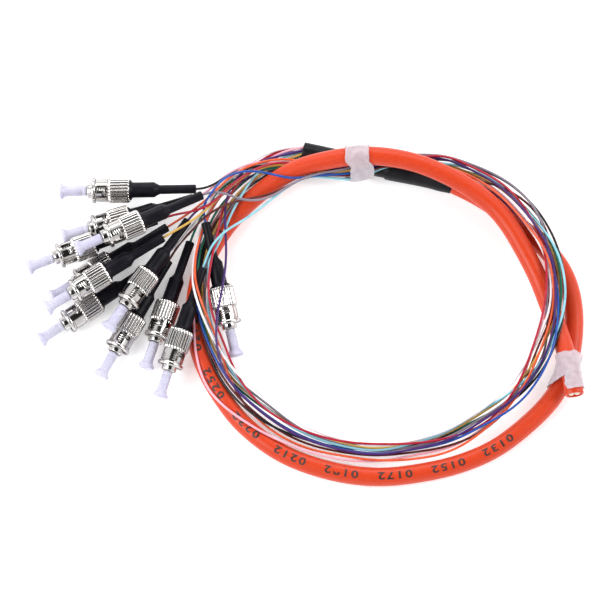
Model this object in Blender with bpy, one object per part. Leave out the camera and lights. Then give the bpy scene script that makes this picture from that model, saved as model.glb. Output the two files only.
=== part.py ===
# Multi-fibre pigtail: an orange trunk cable coiled on itself, twelve coloured
# fibres from its heat-shrink end once round the coil, and a capped bayonet
# connector on each. It lies on a level floor, +Z up, metres.
import math

import bpy
import bmesh
import numpy as np
from mathutils import Matrix, Vector

MM = 0.001

# The plan was read from a view 75 degrees above the floor. A route point is
# (u, v) in that view, u to the right and v downwards, 2.68 units to 1 mm, and
# its height above the floor in mm moves it up the view.
VIEW_UNITS_PER_MM = 2.68
VIEW_CENTRE = 300.0
VIEW_SIN = math.sin(math.radians(75.0))
VIEW_COS = math.cos(math.radians(75.0))

TRUNK_R = 3.5
FIBRE_R = 0.45
GAP = 0.16
FIBRE_SLOPE = 0.45
FIBRE_SPACING = 1.06
SETTLE_ROUNDS = 700
LEAD_LIFT = 2.5
LAY_LIFT = 0.6
MOUTH_DEPTH = 0.3
MOUTH_RING_R = 2.1
MOUTH_CORE_R = 0.8
TAPE_LEFT_U = 300.0
OVER_TRUNK = ("blue", "aqua", "slate", "brown")
UNDER_TRUNK_U = (284.0, 345.0)

# Trunk centreline, (u, v, height in mm), from the sleeve to the cut end.
TRUNK = [
    (454.5, 184.5, 4.2), (482, 198, 3.7), (502, 212.5, 3.55), (528, 233, 3.55),
    (549, 252, 3.55), (563, 271, 3.55), (572, 298, 3.55), (573.6, 328, 3.8),
    (569, 360, 4.3), (557, 390, 4.1), (537, 414, 3.6), (506, 440, 3.55),
    (484, 453, 3.55), (455, 464, 3.55), (424, 471, 3.55), (380, 476, 3.55),
    (333, 470.5, 3.55), (283, 453, 3.55), (244, 424, 3.55), (226, 402, 3.55),
    (210, 377, 3.55), (199, 350, 3.55), (195, 325, 3.55), (195.5, 300, 3.55),
    (199.5, 277, 3.55), (208, 255, 3.6), (222, 232, 3.8), (241, 209, 5.0),
    (263, 190, 7.2), (285, 174.5, 9.6), (305, 165.5, 11.6), (345, 157, 14.5),
    (372, 155.5, 15.2), (400, 159, 15.3), (420, 164, 15.0), (442, 173, 14.1),
    (470, 188, 12.4), (500, 213, 10.7), (519, 242, 9.2), (530, 262, 8.0),
    (538, 278, 7.2), (546, 300, 6.9), (554, 320, 8.0), (560, 338, 9.6),
    (565, 354, 11.4), (569, 372, 12.0), (572.5, 394, 13.2),
]
TRUNK_COUNT = 66
CLIMB_INDEX = 27     # in TRUNK, where it starts to climb
DESCENT_INDEX = 37   # in TRUNK, where it has come down again

# Heat-shrink sleeve centreline from its mouth to the trunk.
SLEEVE = [(303, 151, 4.0), (345, 160, 4.4), (393, 169.5, 4.3), (430, 177, 4.3),
          (453, 184, 4.3)]
SLEEVE_R = 3.6
SLEEVE_THICK_R = 4.2
SLEEVE_STEP = 0.55

# Fibre bundle round the coil: centre and half width in the view, from the
# sleeve's mouth to where it dives under the trunk.
LOOP = [
    (302, 153, 6), (283, 158, 8), (257, 172, 9), (238, 190, 11),
    (221, 213, 10), (208, 238, 8), (201.5, 262, 7), (200, 287, 7),
    (203.5, 315, 7.5), (215, 348, 8.5), (231, 380, 10), (262, 412, 11),
    (300, 436, 9.5), (345, 449.5, 8), (380, 453, 7.5), (408, 449.5, 7.5),
    (450, 440, 9.5), (480, 424, 9.5), (514, 397, 10.5), (544, 350, 12.5),
    (557, 300, 11.5), (550, 250, 11), (530, 217, 11), (501, 189.5, 10),
    (470, 175, 8.5), (440, 166.5, 7.5),
]
# Order of the fibres across the bundle, inner side first, at some stations.
ORDER = {
    0: "green brown yellow black slate violet blue aqua orange rose red white",
    4: "black slate aqua yellow brown violet rose red green orange white blue",
    9: "violet red orange white aqua slate yellow green blue brown black rose",
    11: "white slate yellow green aqua red blue violet brown black orange rose",
    14: "green red black white yellow slate aqua blue brown violet rose orange",
    17: "aqua white yellow black green slate violet blue red rose brown orange",
    19: "red white rose brown orange yellow slate violet aqua green black blue",
    20: "red slate rose white orange violet brown blue yellow green aqua black",
    22: "orange blue white rose violet red yellow aqua green slate brown black",
    25: "orange brown white blue green yellow aqua rose violet red slate black",
}
# Fibres that leave the bundle for a stretch: station -> point in the view.
APART = {
    "violet": {2: (257, 166), 3: (231, 187), 4: (223, 213), 5: (224.5, 238),
               6: (225.5, 262), 7: (222, 287), 8: (216.5, 315),
               9: (216, 348), 10: (226, 379)},
    "rose": {8: (189, 318), 9: (189, 350), 10: (205, 387), 11: (240, 418),
             12: (286, 441)},
    "orange": {12: (300, 448), 13: (345, 460), 14: (380, 464.5),
               15: (410, 463), 16: (450, 455)},
}
# From the coil to the connectors: where each fibre is under the trunk and at
# the tape's left edge, then the points on its way to the boot.
DIVE = [(420, 162.5, 7), (399, 160, 7.5), (379, 159.5, 8), (360, 168.5, 8.5)]
DIVE_ORDER = "black aqua rose brown blue slate red yellow green violet white orange"
LEAD = {
    "blue": [(325, 174), (306, 174.4), (288, 173), (268, 169.5), (248, 168.6),
             (233, 171), (220, 178.5), (211, 186), (205, 197)],
    "aqua": [(325, 177.5), (306, 177.5), (291, 184), (275, 198), (258, 212),
             (240, 224), (225, 236)],
    "slate": [(325, 175.5), (306, 180), (290, 188), (275, 199), (258, 204.5),
              (240, 202)],
    "brown": [(325, 176), (306, 179), (290, 186), (275, 194), (258, 199),
              (240, 202), (221, 209), (202, 225)],
    "black": [(325, 178), (306, 176), (285, 170), (262, 168), (240, 173),
              (222, 180)],
    "rose": [(325, 176), (306, 174), (287, 169), (266, 168), (249, 171),
             (235, 175), (220, 182)],
    "red": [(325, 171), (306, 169), (290, 165), (268, 165.5), (245, 173),
            (228, 183), (212, 195), (193, 204)],
    "orange": [(325, 169), (306, 167), (290, 163), (262, 163.5), (240, 170),
               (226, 178), (214, 190), (199, 204)],
    "yellow": [(325, 171), (306, 170), (290, 167), (265, 170), (243, 180),
               (228, 192), (212, 206), (196, 219)],
    "white": [(325, 169), (306, 167.5), (290, 164.5), (264, 166), (243, 175),
              (228, 182), (216, 190), (208, 200), (199, 212), (186, 229)],
    "violet": [(325, 170), (306, 169), (290, 166), (266, 168.5), (246, 179),
               (230, 190), (214, 200)],
    "green": [(325, 172), (306, 171), (290, 168), (267, 171), (247, 178),
              (232, 186), (219, 196), (207, 211)],
}
COLOURS = {
    "blue": (0.02, 0.12, 0.55), "orange": (0.85, 0.25, 0.03),
    "green": (0.02, 0.30, 0.20), "brown": (0.20, 0.07, 0.04),
    "slate": (0.30, 0.27, 0.33), "white": (0.85, 0.82, 0.88),
    "red": (0.55, 0.02, 0.05), "black": (0.015, 0.015, 0.018),
    "yellow": (0.75, 0.55, 0.12), "violet": (0.10, 0.03, 0.25),
    "rose": (0.90, 0.45, 0.60), "aqua": (0.35, 0.75, 0.85),
}
LAY_ORDER = ["rose", "black", "brown", "green", "yellow", "slate", "blue",
             "aqua", "white", "orange", "red", "violet"]

# Connectors in the view: cap tip, boot tip, their heights in mm, its fibre.
CONNECTORS = [
    ((62, 191), (193, 189), 4.9, 9.4, "black"),
    ((62, 237), (193, 198), 5.1, 5.1, "rose"),
    ((75.5, 250), (204.5, 194.5), 19.8, 18.6, "slate"),
    ((27, 268), (158, 220), 10.0, 12.2, "red"),
    ((45.5, 309.5), (165, 237), 13.2, 16.2, "yellow"),
    ((49, 299), (169, 226), 5.1, 5.1, "orange"),
    ((39.5, 341), (154, 264), 5.1, 5.1, "white"),
    ((107, 331), (190, 218), 14.0, 13.4, "violet"),
    ((99.8, 378), (169.8, 259), 5.1, 5.1, "brown"),
    ((145.5, 369.5), (190.8, 240.6), 5.1, 5.1, "green"),
    ((159.5, 399), (204, 266), 7.5, 12.9, "aqua"),
    ((236, 355), (206, 224), 3.9, 12.9, "blue"),
]
# Connector sizes in mm, counted along its axis from the cap's tip. The cap seats
# against the nose, the nut against its shoulder and the boot behind the nut.
CAP_FLANGE_R = 3.1
CAP_FLANGE_T = 1.7
CAP_TIP_WALL = 2.2
CAP_R = 1.9
CAP_BORE_R = 1.45
CAP_LENGTH = 10.2
CAP_SEAT = 0.3
CAP_TRAVEL = 9.0
FERRULE_R = 1.25
FERRULE_START = CAP_TIP_WALL + 0.8
NOSE_R = 2.8
NOSE_START = CAP_LENGTH + CAP_SEAT
NUT_START = NOSE_START + 1.8
NUT_LENGTH = 14.2
NUT_END = NUT_START + NUT_LENGTH
NUT_RIM_R = 4.8
NUT_RIM_T = 1.5
NUT_SMOOTH_R = 4.2
NUT_KNURL_R = 4.75
NUT_KNURL_START = NUT_START + 6.2
NUT_FLUTE = 0.35
NUT_BORE_R = 3.75
NUT_LIP_R = 3.3
NUT_LIP_T = 1.5
SLOT_FRONT = NUT_START + 2.2
SLOT_ARM = NUT_START + 3.8
SLOT_REAR = NUT_START + 5.2
SLOT_HALF = 1.1
SLOT_REACH = 2.2
COLLAR_R = 3.4
COLLAR_START = NUT_START + 5.5
COLLAR_T = 2.0
BOOT_R = 2.9
BOOT_THIN_R = 1.7
BOOT_STEP = NUT_END + 9.5
BOOT_THIN_START = BOOT_STEP + 1.6
CONN_LENGTH = BOOT_THIN_START + 13.7
FIBRE_HOLE_R = 0.75
MOUTH_BORE_R = 2.95
MOUTH_BORE_DEPTH = 4.0
TAPE_TOP = (357, 163, 9.5)
TAPE_RIGHT = (567, 371, 7.6)
TAPE_TOP_WIDTH = 9.6
TAPE_RIGHT_WIDTH = 12.6
TAPE_GAP = 0.25
TAPE_WINDOW = 2.0
TAPE_ROWS = 5
TAPE_THICK = 0.35
TAPE_SIDES = 28
FIBRE_HOLE_DEPTH = 5.0
FIBRE_IN_BOOT = 4.0


def seen(u, v, z):
    """Floor-frame point in mm of a view point at height z."""
    x = (u - VIEW_CENTRE) / VIEW_UNITS_PER_MM
    h = (VIEW_CENTRE - v) / VIEW_UNITS_PER_MM
    return (x, (h - z * VIEW_COS) / VIEW_SIN, z)


def spline(points, count):
    """count evenly spaced points on a smooth curve through the points."""
    pts = np.array(points, dtype=float)
    pts = np.vstack([2 * pts[0] - pts[1], pts, 2 * pts[-1] - pts[-2]])
    fine = []
    for i in range(1, len(pts) - 2):
        p0, p1, p2, p3 = pts[i - 1:i + 3]
        for t in np.linspace(0, 1, 12, endpoint=False):
            fine.append(0.5 * (2 * p1 + (p2 - p0) * t
                               + (2 * p0 - 5 * p1 + 4 * p2 - p3) * t ** 2
                               + (3 * p1 - p0 - 3 * p2 + p3) * t ** 3))
    fine.append(pts[-2])
    return even(np.array(fine), count)


def even(path, count):
    """The same path read at count evenly spaced points."""
    steps = np.linalg.norm(np.diff(path, axis=0), axis=1)
    run = np.concatenate([[0], np.cumsum(steps)])
    want = np.linspace(0, run[-1], count)
    return np.column_stack([np.interp(want, run, path[:, k]) for k in range(path.shape[1])])


def samples(path, step=0.7):
    """Close points along a polyline."""
    out = []
    for a, b in zip(path[:-1], path[1:]):
        n = max(1, int(math.ceil(np.linalg.norm(b - a) / step)))
        for t in np.arange(n) / n:
            out.append(a + (b - a) * t)
    out.append(path[-1])
    return np.array(out)


def needed(points, obstacles, radius):
    """Lowest height at which each point clears what already lies there."""
    need = np.full(len(points), radius + 0.02)
    for other, other_r in obstacles:
        reach = radius + other_r + GAP
        d2 = ((points[:, None, :2] - other[None, :, :2]) ** 2).sum(axis=2)
        inside = np.maximum(reach[None, :] ** 2 - d2, 0.0)
        top = np.where(inside > 0, other[None, :, 2] + np.sqrt(inside), 0.0)
        need = np.maximum(need, top.max(axis=1))
    return need


def drape(view_points, obstacles, radius, fixed_first=None, fixed_last=None):
    """Heights for a strand laid over the obstacles, then its floor points."""
    heights = np.full(len(view_points), 1.0)
    for _ in range(4):
        path = np.array([seen(u, v, z) for (u, v), z in zip(view_points, heights)])
        need = np.full(len(path), radius + 0.02)
        for i in range(len(path) - 1):
            part = samples(path[i:i + 2], 0.6)
            worst = needed(part, obstacles, radius).max()
            need[i] = max(need[i], worst)
            need[i + 1] = max(need[i + 1], worst)
        steps = np.linalg.norm(np.diff(path[:, :2], axis=0), axis=1)
        run = np.concatenate([[0], np.cumsum(steps)])
        if fixed_first is not None:
            need[0] = fixed_first
        if fixed_last is not None:
            need[-1] = max(need[-1], fixed_last)
        lift = need[None, :] - FIBRE_SLOPE * np.abs(run[:, None] - run[None, :])
        heights = lift.max(axis=1)
        for _ in range(2):
            mean = heights.copy()
            mean[1:-1] = (heights[:-2] + 2 * heights[1:-1] + heights[2:]) / 4
            heights = np.maximum(mean, need)
        if fixed_first is not None:
            heights[0] = fixed_first
    return np.array([seen(u, v, z) for (u, v), z in zip(view_points, heights)])


def lane_points():
    """View points of every fibre at every loop station."""
    centre = np.array([(u, v) for u, v, _ in LOOP], dtype=float)
    tangent = np.gradient(centre, axis=0)
    tangent /= np.linalg.norm(tangent, axis=1)[:, None]
    inward = np.column_stack([-tangent[:, 1], tangent[:, 0]])
    keys = sorted(ORDER)
    lanes = {}
    for colour in COLOURS:
        ranks = [ORDER[k].split().index(colour) for k in keys]
        rank = np.interp(range(len(LOOP)), keys, ranks)
        points = []
        for i, (u, v, half) in enumerate(LOOP):
            side = (5.5 - rank[i]) / 5.5 * half
            points.append(tuple(centre[i] - inward[i] * side))
        for station, point in APART.get(colour, {}).items():
            points[station] = point
        lanes[colour] = points
    return lanes


def radii(path, radius):
    return np.full(len(path), float(radius))


def connector_axis(tip, boot, tip_z, boot_z):
    """Cap tip and boot tip in mm, CONN_LENGTH apart, about the nut's rear."""
    a = np.array(seen(*tip, tip_z))
    b = np.array(seen(*boot, boot_z))
    along = (b - a) / np.linalg.norm(b - a)
    middle = (a + b) / 2
    start = middle - along * CONN_LENGTH / 2
    return start, along


def connector_profile():
    """(distance from the cap's tip, outer radius) of the whole connector."""
    return [(0, CAP_FLANGE_R), (CAP_FLANGE_T, CAP_FLANGE_R), (CAP_FLANGE_T, CAP_R),
            (NOSE_START, CAP_R), (NOSE_START, NOSE_R), (NUT_START, NOSE_R),
            (NUT_START, NUT_RIM_R), (NUT_END, NUT_RIM_R), (NUT_END, BOOT_R),
            (BOOT_STEP, BOOT_R), (BOOT_THIN_START, BOOT_THIN_R),
            (CONN_LENGTH, BOOT_THIN_R)]


def connector_obstacle(start, along):
    """Points and radii of a connector and of its cap's way off."""
    s = np.arange(-CAP_TRAVEL - CAP_SEAT, CONN_LENGTH, 0.6)
    prof = connector_profile()
    r = np.interp(s, [p[0] + 1e-6 * i for i, p in enumerate(prof)], [p[1] for p in prof])
    return start[None, :] + s[:, None] * along[None, :], r


def mouth_point(sleeve, colour):
    """Place of a fibre in the sleeve's mouth: nine on a ring, three inside."""
    k = ["black", "brown", "green", "yellow", "violet", "rose", "white", "red",
         "orange"].index(colour) if colour not in ("slate", "blue", "aqua") else -1
    along = sleeve[1] - sleeve[0]
    along /= np.linalg.norm(along)
    side = np.array([along[1], -along[0], 0.0])
    side /= np.linalg.norm(side)
    up = np.cross(side, along)
    if k >= 0:
        angle = math.radians(-70 + 40 * k)
        reach = MOUTH_RING_R
    else:
        angle = math.radians(120 * ["slate", "blue", "aqua"].index(colour))
        reach = MOUTH_CORE_R
    middle = sleeve[0] + along * MOUTH_DEPTH
    return middle + reach * (math.cos(angle) * side + math.sin(angle) * up)


def closest(p0, p1, q0, q1):
    """Closest points of segment pairs: their shares s and t along each."""
    u = p1 - p0
    v = q1 - q0
    w = p0 - q0
    a = (u * u).sum(1) + 1e-12
    b = (u * v).sum(1)
    c = (v * v).sum(1) + 1e-12
    d = (u * w).sum(1)
    e = (v * w).sum(1)
    s = np.clip((b * e - c * d) / np.maximum(a * c - b * b, 1e-9), 0, 1)
    t = np.clip((b * s + e) / c, 0, 1)
    s = np.clip((b * t - d) / a, 0, 1)
    return s, t


def settle(paths, held, solids, rounds):
    """Push the fibres apart, off the solids and down until nothing overlaps.

    paths: arrays of points; held: True where a point may not move; solids:
    (points, radii) of the trunk, sleeve and connectors."""
    points = np.vstack(paths)
    target = points.copy()
    owner = np.concatenate([np.full(len(p), k) for k, p in enumerate(paths)])
    place = np.concatenate([np.arange(len(p)) for p in paths])
    free = ~np.concatenate(held)
    first = np.where(owner[:-1] == owner[1:])[0]
    balls = np.vstack([s[0] for s in solids])
    ball_r = np.concatenate([s[1] for s in solids])
    inner = np.where((owner[:-2] == owner[2:]) & free[1:-1])[0] + 1
    for turn in range(rounds):
        if turn % 15 == 0:
            middle = (points[first] + points[first + 1]) / 2
            reach = np.linalg.norm(points[first] - points[first + 1], axis=1) / 2
            gap = np.linalg.norm(middle[:, None] - middle[None], axis=2)
            near = gap < reach[:, None] + reach[None] + 2.5
            i, j = np.where(np.triu(near, 1))
            apart = (owner[first[i]] != owner[first[j]]) | (
                np.abs(place[first[i]] - place[first[j]]) > 3)
            i, j = first[i[apart]], first[j[apart]]
            gap = np.linalg.norm(middle[:, None] - balls[None], axis=2)
            m, n = np.where(gap < reach[:, None] + ball_r[None] + 2.5)
            m = first[m]
        push = np.zeros_like(points)
        count = np.zeros(len(points))
        s, t = closest(points[i], points[i + 1], points[j], points[j + 1])
        away = (points[i] + s[:, None] * (points[i + 1] - points[i])
                - points[j] - t[:, None] * (points[j + 1] - points[j]))
        dist = np.linalg.norm(away, axis=1)
        hit = dist < FIBRE_SPACING
        crossed = dist < 0.4 * FIBRE_SPACING
        away[crossed, :2] = 0.0
        away[crossed, 2] = np.where(away[crossed, 2] >= 0, 1.0, -1.0) * dist[crossed]
        away = away[hit] / np.maximum(dist[hit], 1e-6)[:, None]
        deep = (FIBRE_SPACING - dist[hit])[:, None] * 0.5 * away
        for index, share in ((i[hit], 1 - s[hit]), (i[hit] + 1, s[hit])):
            np.add.at(push, index, deep * share[:, None] * 1.4)
            np.add.at(count, index, share)
        for index, share in ((j[hit], 1 - t[hit]), (j[hit] + 1, t[hit])):
            np.add.at(push, index, -deep * share[:, None] * 1.4)
            np.add.at(count, index, share)
        along = points[m + 1] - points[m]
        t = np.clip(((balls[n] - points[m]) * along).sum(1)
                    / ((along * along).sum(1) + 1e-12), 0, 1)
        away = points[m] + t[:, None] * along - balls[n]
        dist = np.linalg.norm(away, axis=1)
        room = ball_r[n] + FIBRE_R + GAP
        hit = dist < room
        away = away[hit] / np.maximum(dist[hit], 1e-6)[:, None]
        deep = (room - dist)[hit][:, None] * away
        for index, share in ((m[hit], 1 - t[hit]), (m[hit] + 1, t[hit])):
            np.add.at(push, index, deep * share[:, None] * 1.2)
            np.add.at(count, index, share)
        push /= np.maximum(count, 1.0)[:, None]
        points[free] += push[free]
        if turn < rounds * 0.7:
            points[free, 2] -= 0.03
            drift = points - target
            mean = (drift[inner - 1] + drift[inner + 1]) / 2
            points[inner] += 0.25 * (mean - drift[inner])
            level = (points[inner - 1, 2] + points[inner + 1, 2]) / 2
            points[inner, 2] += 0.25 * (level - points[inner, 2])
            points[free, :2] -= 0.02 * (points - target)[free, :2]
        floor = FIBRE_R + 0.03
        points[free, 2] = np.maximum(points[free, 2], floor)
    out = []
    start = 0
    for path in paths:
        out.append(points[start:start + len(path)])
        start += len(path)
    return out


def underside(u):
    """Height that a fibre has under the trunk where the trunk comes down."""
    crossing = np.array(TRUNK[CLIMB_INDEX:CLIMB_INDEX + 5])
    return np.interp(u, crossing[:, 0], crossing[:, 2]) - TRUNK_R - FIBRE_R - GAP


def lay_everything():
    """Trunk, sleeve, fibres and connectors, each as points in mm."""
    trunk = spline([seen(*p) for p in TRUNK], TRUNK_COUNT)
    climb = np.array(seen(*TRUNK[CLIMB_INDEX]))
    down = np.array(seen(*TRUNK[DESCENT_INDEX]))
    i0 = int(np.argmin(np.linalg.norm(trunk[20:50] - climb, axis=1))) + 20
    i1 = int(np.argmin(np.linalg.norm(trunk[45:] - down, axis=1))) + 45
    low = [(samples(part), TRUNK_R) for part in (trunk[:i0 + 1], trunk[i1:])]
    high = [(samples(trunk[i0:i1 + 1]), TRUNK_R)]
    sleeve = spline([seen(*p) for p in SLEEVE], 12)
    low = [(p, radii(p, r)) for p, r in low]
    high = [(p, radii(p, r)) for p, r in high]
    far = samples(sleeve[1:])
    sleeve_solid = [(far, radii(far, SLEEVE_THICK_R))]
    connectors = [connector_axis(*c[:4]) for c in CONNECTORS]
    boots = {c[4]: axis for c, axis in zip(CONNECTORS, connectors)}
    solids = {c[4]: connector_obstacle(*axis) for c, axis in zip(CONNECTORS, connectors)}

    lanes = lane_points()
    dive = DIVE_ORDER.split()
    paths = []
    held = []
    for k, colour in enumerate(LAY_ORDER):
        around = low + sleeve_solid
        if colour == "violet":
            around = around + list(solids.values())
        first = mouth_point(sleeve, colour)
        loop = drape(lanes[colour], around, FIBRE_R, fixed_first=first[2])
        loop[3:, 2] += LAY_LIFT * k
        for i, share in ((1, 0.8), (2, 0.4)):
            loop[i, 2] = share * first[2] + (1 - share) * (loop[i, 2] + LAY_LIFT * k)
        start, along = boots[colour]
        tip = start + along * CONN_LENGTH
        inside = start + along * (CONN_LENGTH - FIBRE_IN_BOOT)
        out = tip + along * 5.0
        ranks = np.linspace(ORDER[25].split().index(colour), dive.index(colour), 5)[1:]
        under = [(u, v + (5.5 - rank) / 5.5 * half)
                 for (u, v, half), rank in zip(DIVE, ranks)]
        over = low + sleeve_solid + [s for c, s in solids.items() if c != colour]
        view = [lanes[colour][-1]] + under + LEAD[colour] + [view_of(out)]
        lead = drape(view, over, FIBRE_R, fixed_first=loop[-1][2], fixed_last=out[2])
        if colour in OVER_TRUNK:
            above = drape(view, over + high, FIBRE_R, fixed_last=out[2])
            past = np.array([u < TAPE_LEFT_U for u, v in view])
            lead[past] = above[past]
        lead[len(DIVE) + 1:-1, 2] += LEAD_LIFT + LAY_LIFT * (11 - k)
        if colour not in OVER_TRUNK:
            for i, (u, v) in enumerate(view):
                if UNDER_TRUNK_U[0] < u < UNDER_TRUNK_U[1]:
                    lead[i, 2] = min(lead[i, 2], underside(u))
        lead[-1] = out
        path = np.vstack([loop, lead[1:], [tip, inside]])
        path[0] = first
        fixed = np.zeros(len(path), bool)
        fixed[[0, -3, -2, -1]] = True
        paths.append(path)
        held.append(fixed)
    solid = low + high + [(far, radii(far, SLEEVE_THICK_R))] + list(solids.values())
    settled = settle(paths, held, solid, SETTLE_ROUNDS)
    fibres = dict(zip(LAY_ORDER, settled))
    return trunk, sleeve, fibres, connectors


def view_of(point):
    """View position of a floor-frame point in mm."""
    x, y, z = point
    h = y * VIEW_SIN + z * VIEW_COS
    return (VIEW_CENTRE + x * VIEW_UNITS_PER_MM, VIEW_CENTRE - h * VIEW_UNITS_PER_MM)


def clear_scene():
    for obj in list(bpy.data.objects):
        bpy.data.objects.remove(obj, do_unlink=True)


def material(name, colour, roughness=0.5, metallic=0.0):
    mat = bpy.data.materials.new(name)
    mat.use_nodes = True
    bsdf = mat.node_tree.nodes["Principled BSDF"]
    bsdf.inputs["Base Color"].default_value = (*colour, 1.0)
    bsdf.inputs["Roughness"].default_value = roughness
    bsdf.inputs["Metallic"].default_value = metallic
    return mat


def put(obj, collection, mat):
    collection.objects.link(obj)
    obj.data.materials.append(mat)
    return obj


def tube(name, path, radius, sides_level, collection, mat):
    """A curve tube with filled ends along a path in mm."""
    curve = bpy.data.curves.new(name, "CURVE")
    curve.dimensions = "3D"
    curve.bevel_depth = radius * MM
    curve.bevel_resolution = sides_level
    curve.use_fill_caps = True
    line = curve.splines.new("POLY")
    line.points.add(len(path) - 1)
    for point, (x, y, z) in zip(line.points, path):
        point.co = (x * MM, y * MM, z * MM, 1.0)
    return put(bpy.data.objects.new(name, curve), collection, mat)


def frame_along(along):
    """Two directions across a direction, the second one upmost."""
    side = np.array([along[1], -along[0], 0.0])
    side /= np.linalg.norm(side)
    return side, np.cross(side, along)


def skin(rings, closed_ring=False):
    """A bmesh skinned over rings of equal size, capped unless closed."""
    bm = bmesh.new()
    made = [[bm.verts.new(tuple(p)) for p in ring] for ring in rings]
    pairs = list(zip(made[:-1], made[1:]))
    if closed_ring:
        pairs.append((made[-1], made[0]))
    for a, b in pairs:
        n = len(a)
        for k in range(n):
            bm.faces.new((a[k], a[(k + 1) % n], b[(k + 1) % n], b[k]))
    if not closed_ring:
        bm.faces.new(list(reversed(made[0])))
        bm.faces.new(made[-1])
    bmesh.ops.recalc_face_normals(bm, faces=bm.faces)
    return bm


def mesh_object(name, bm, collection, mat):
    mesh = bpy.data.meshes.new(name)
    bm.to_mesh(mesh)
    bm.free()
    return put(bpy.data.objects.new(name, mesh), collection, mat)


def swept(name, path, stations, sides, collection, mat):
    """A round body along a path: stations are (share of the path, radius)."""
    steps = np.linalg.norm(np.diff(path, axis=0), axis=1)
    run = np.concatenate([[0], np.cumsum(steps)]) / steps.sum()
    rings = []
    for share, radius in stations:
        centre = np.array([np.interp(share, run, path[:, k]) for k in range(3)])
        ahead = np.array([np.interp(min(share + 0.02, 1), run, path[:, k]) for k in range(3)])
        behind = np.array([np.interp(max(share - 0.02, 0), run, path[:, k]) for k in range(3)])
        along = (ahead - behind) / np.linalg.norm(ahead - behind)
        side, up = frame_along(along)
        rings.append([(centre + radius * (math.cos(a) * side + math.sin(a) * up)) * MM
                      for a in np.arange(sides) * 2 * math.pi / sides])
    return mesh_object(name, skin(rings), collection, mat)


def turned(name, profile, sides, place, collection, mat, flute=None, closed=False):
    """A body turned about local X from (x, radius) points, in its own frame.

    flute = (first x, last x, depth): every other line of the outer skin there
    is sunk. closed: the profile returns to its start and leaves a bore."""
    rings = []
    for x, radius in profile:
        ring = []
        for k in range(sides):
            a = 2 * math.pi * (k + 0.5) / sides
            r = radius
            if flute and k % 2 and flute[0] <= x <= flute[1] and radius > flute[3]:
                r = radius - flute[2]
            ring.append((x * MM, r * math.cos(a) * MM, r * math.sin(a) * MM))
        rings.append(ring)
    obj = mesh_object(name, skin(rings, closed_ring=closed), collection, mat)
    obj.matrix_world = place
    return obj


def placement(start, along):
    """Frame at the cap's tip with X along the connector."""
    side, up = frame_along(along)
    rows = Matrix((
        (along[0], side[0], -up[0], start[0] * MM),
        (along[1], side[1], -up[1], start[1] * MM),
        (along[2], side[2], -up[2], start[2] * MM),
        (0, 0, 0, 1)))
    if rows.to_3x3().determinant() < 0:
        rows[0][2], rows[1][2], rows[2][2] = up
    return rows


def outline(points):
    """Convex outline of flat points, anticlockwise."""
    points = sorted(map(tuple, points))
    halves = []
    for run in (points, points[::-1]):
        chain = []
        for p in run:
            while len(chain) > 1 and ((chain[-1][0] - chain[-2][0]) * (p[1] - chain[-2][1])
                                      - (chain[-1][1] - chain[-2][1])
                                      * (p[0] - chain[-2][0])) <= 0:
                chain.pop()
            chain.append(p)
        halves.append(chain[:-1])
    return halves[0] + halves[1]


def tape_spot(trunk, where):
    """Middle of a tape and the trunk's level direction there."""
    spot = np.array(seen(*where))
    k = int(np.argmin(np.linalg.norm(trunk[30:-1] - spot, axis=1))) + 30
    along = (trunk[k + 1] - trunk[k - 1]) * (1, 1, 0)
    return spot, along / np.linalg.norm(along)


def tape_loops(strands, centre, along, at):
    """Inner and outer outline of a tape round its strands, at a distance along it."""
    side, up = frame_along(along)
    flat = []
    for path, radius in strands:
        offset = samples(path, 0.6) - centre
        near = np.abs(offset @ along - at) < TAPE_WINDOW
        near &= np.linalg.norm(offset, axis=1) < 16
        for p in offset[near]:
            for a in np.arange(24) * math.pi / 12:
                flat.append((p @ side + (radius + TAPE_GAP) * math.cos(a),
                             p @ up + (radius + TAPE_GAP) * math.sin(a)))
    hull = np.array(outline(flat))
    hull = even(np.vstack([hull, hull[:1]]), 721)[:-1]
    middle = hull.mean(axis=0)
    away = hull - middle
    turn = np.arange(TAPE_SIDES) * 2 * math.pi / TAPE_SIDES
    reach = np.interp(turn, np.arctan2(away[:, 1], away[:, 0]),
                      np.linalg.norm(away, axis=1), period=2 * math.pi)
    spread = np.column_stack([np.cos(turn), np.sin(turn)])
    inner = middle + spread * (reach[:, None] + 0.15)
    return [loop[:, :1] * side + loop[:, 1:] * up
            for loop in (inner, inner + spread * TAPE_THICK)]


def tape_band(name, centre, along, width, strands, collection, mat):
    """A tape wound round several strands: a band that follows their outline."""
    places = np.linspace(-width / 2, width / 2, TAPE_ROWS + 1)
    loops = [tape_loops(strands, centre, along, at) for at in places]
    rings = [centre + along * at + loop[0] for at, loop in zip(places, loops)]
    rings += [centre + along * at + loop[1] for at, loop in zip(places, loops)][::-1]
    bm = skin([ring * MM for ring in rings], closed_ring=True)
    bmesh.ops.triangulate(bm, faces=bm.faces)
    return mesh_object(name, bm, collection, mat)


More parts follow.
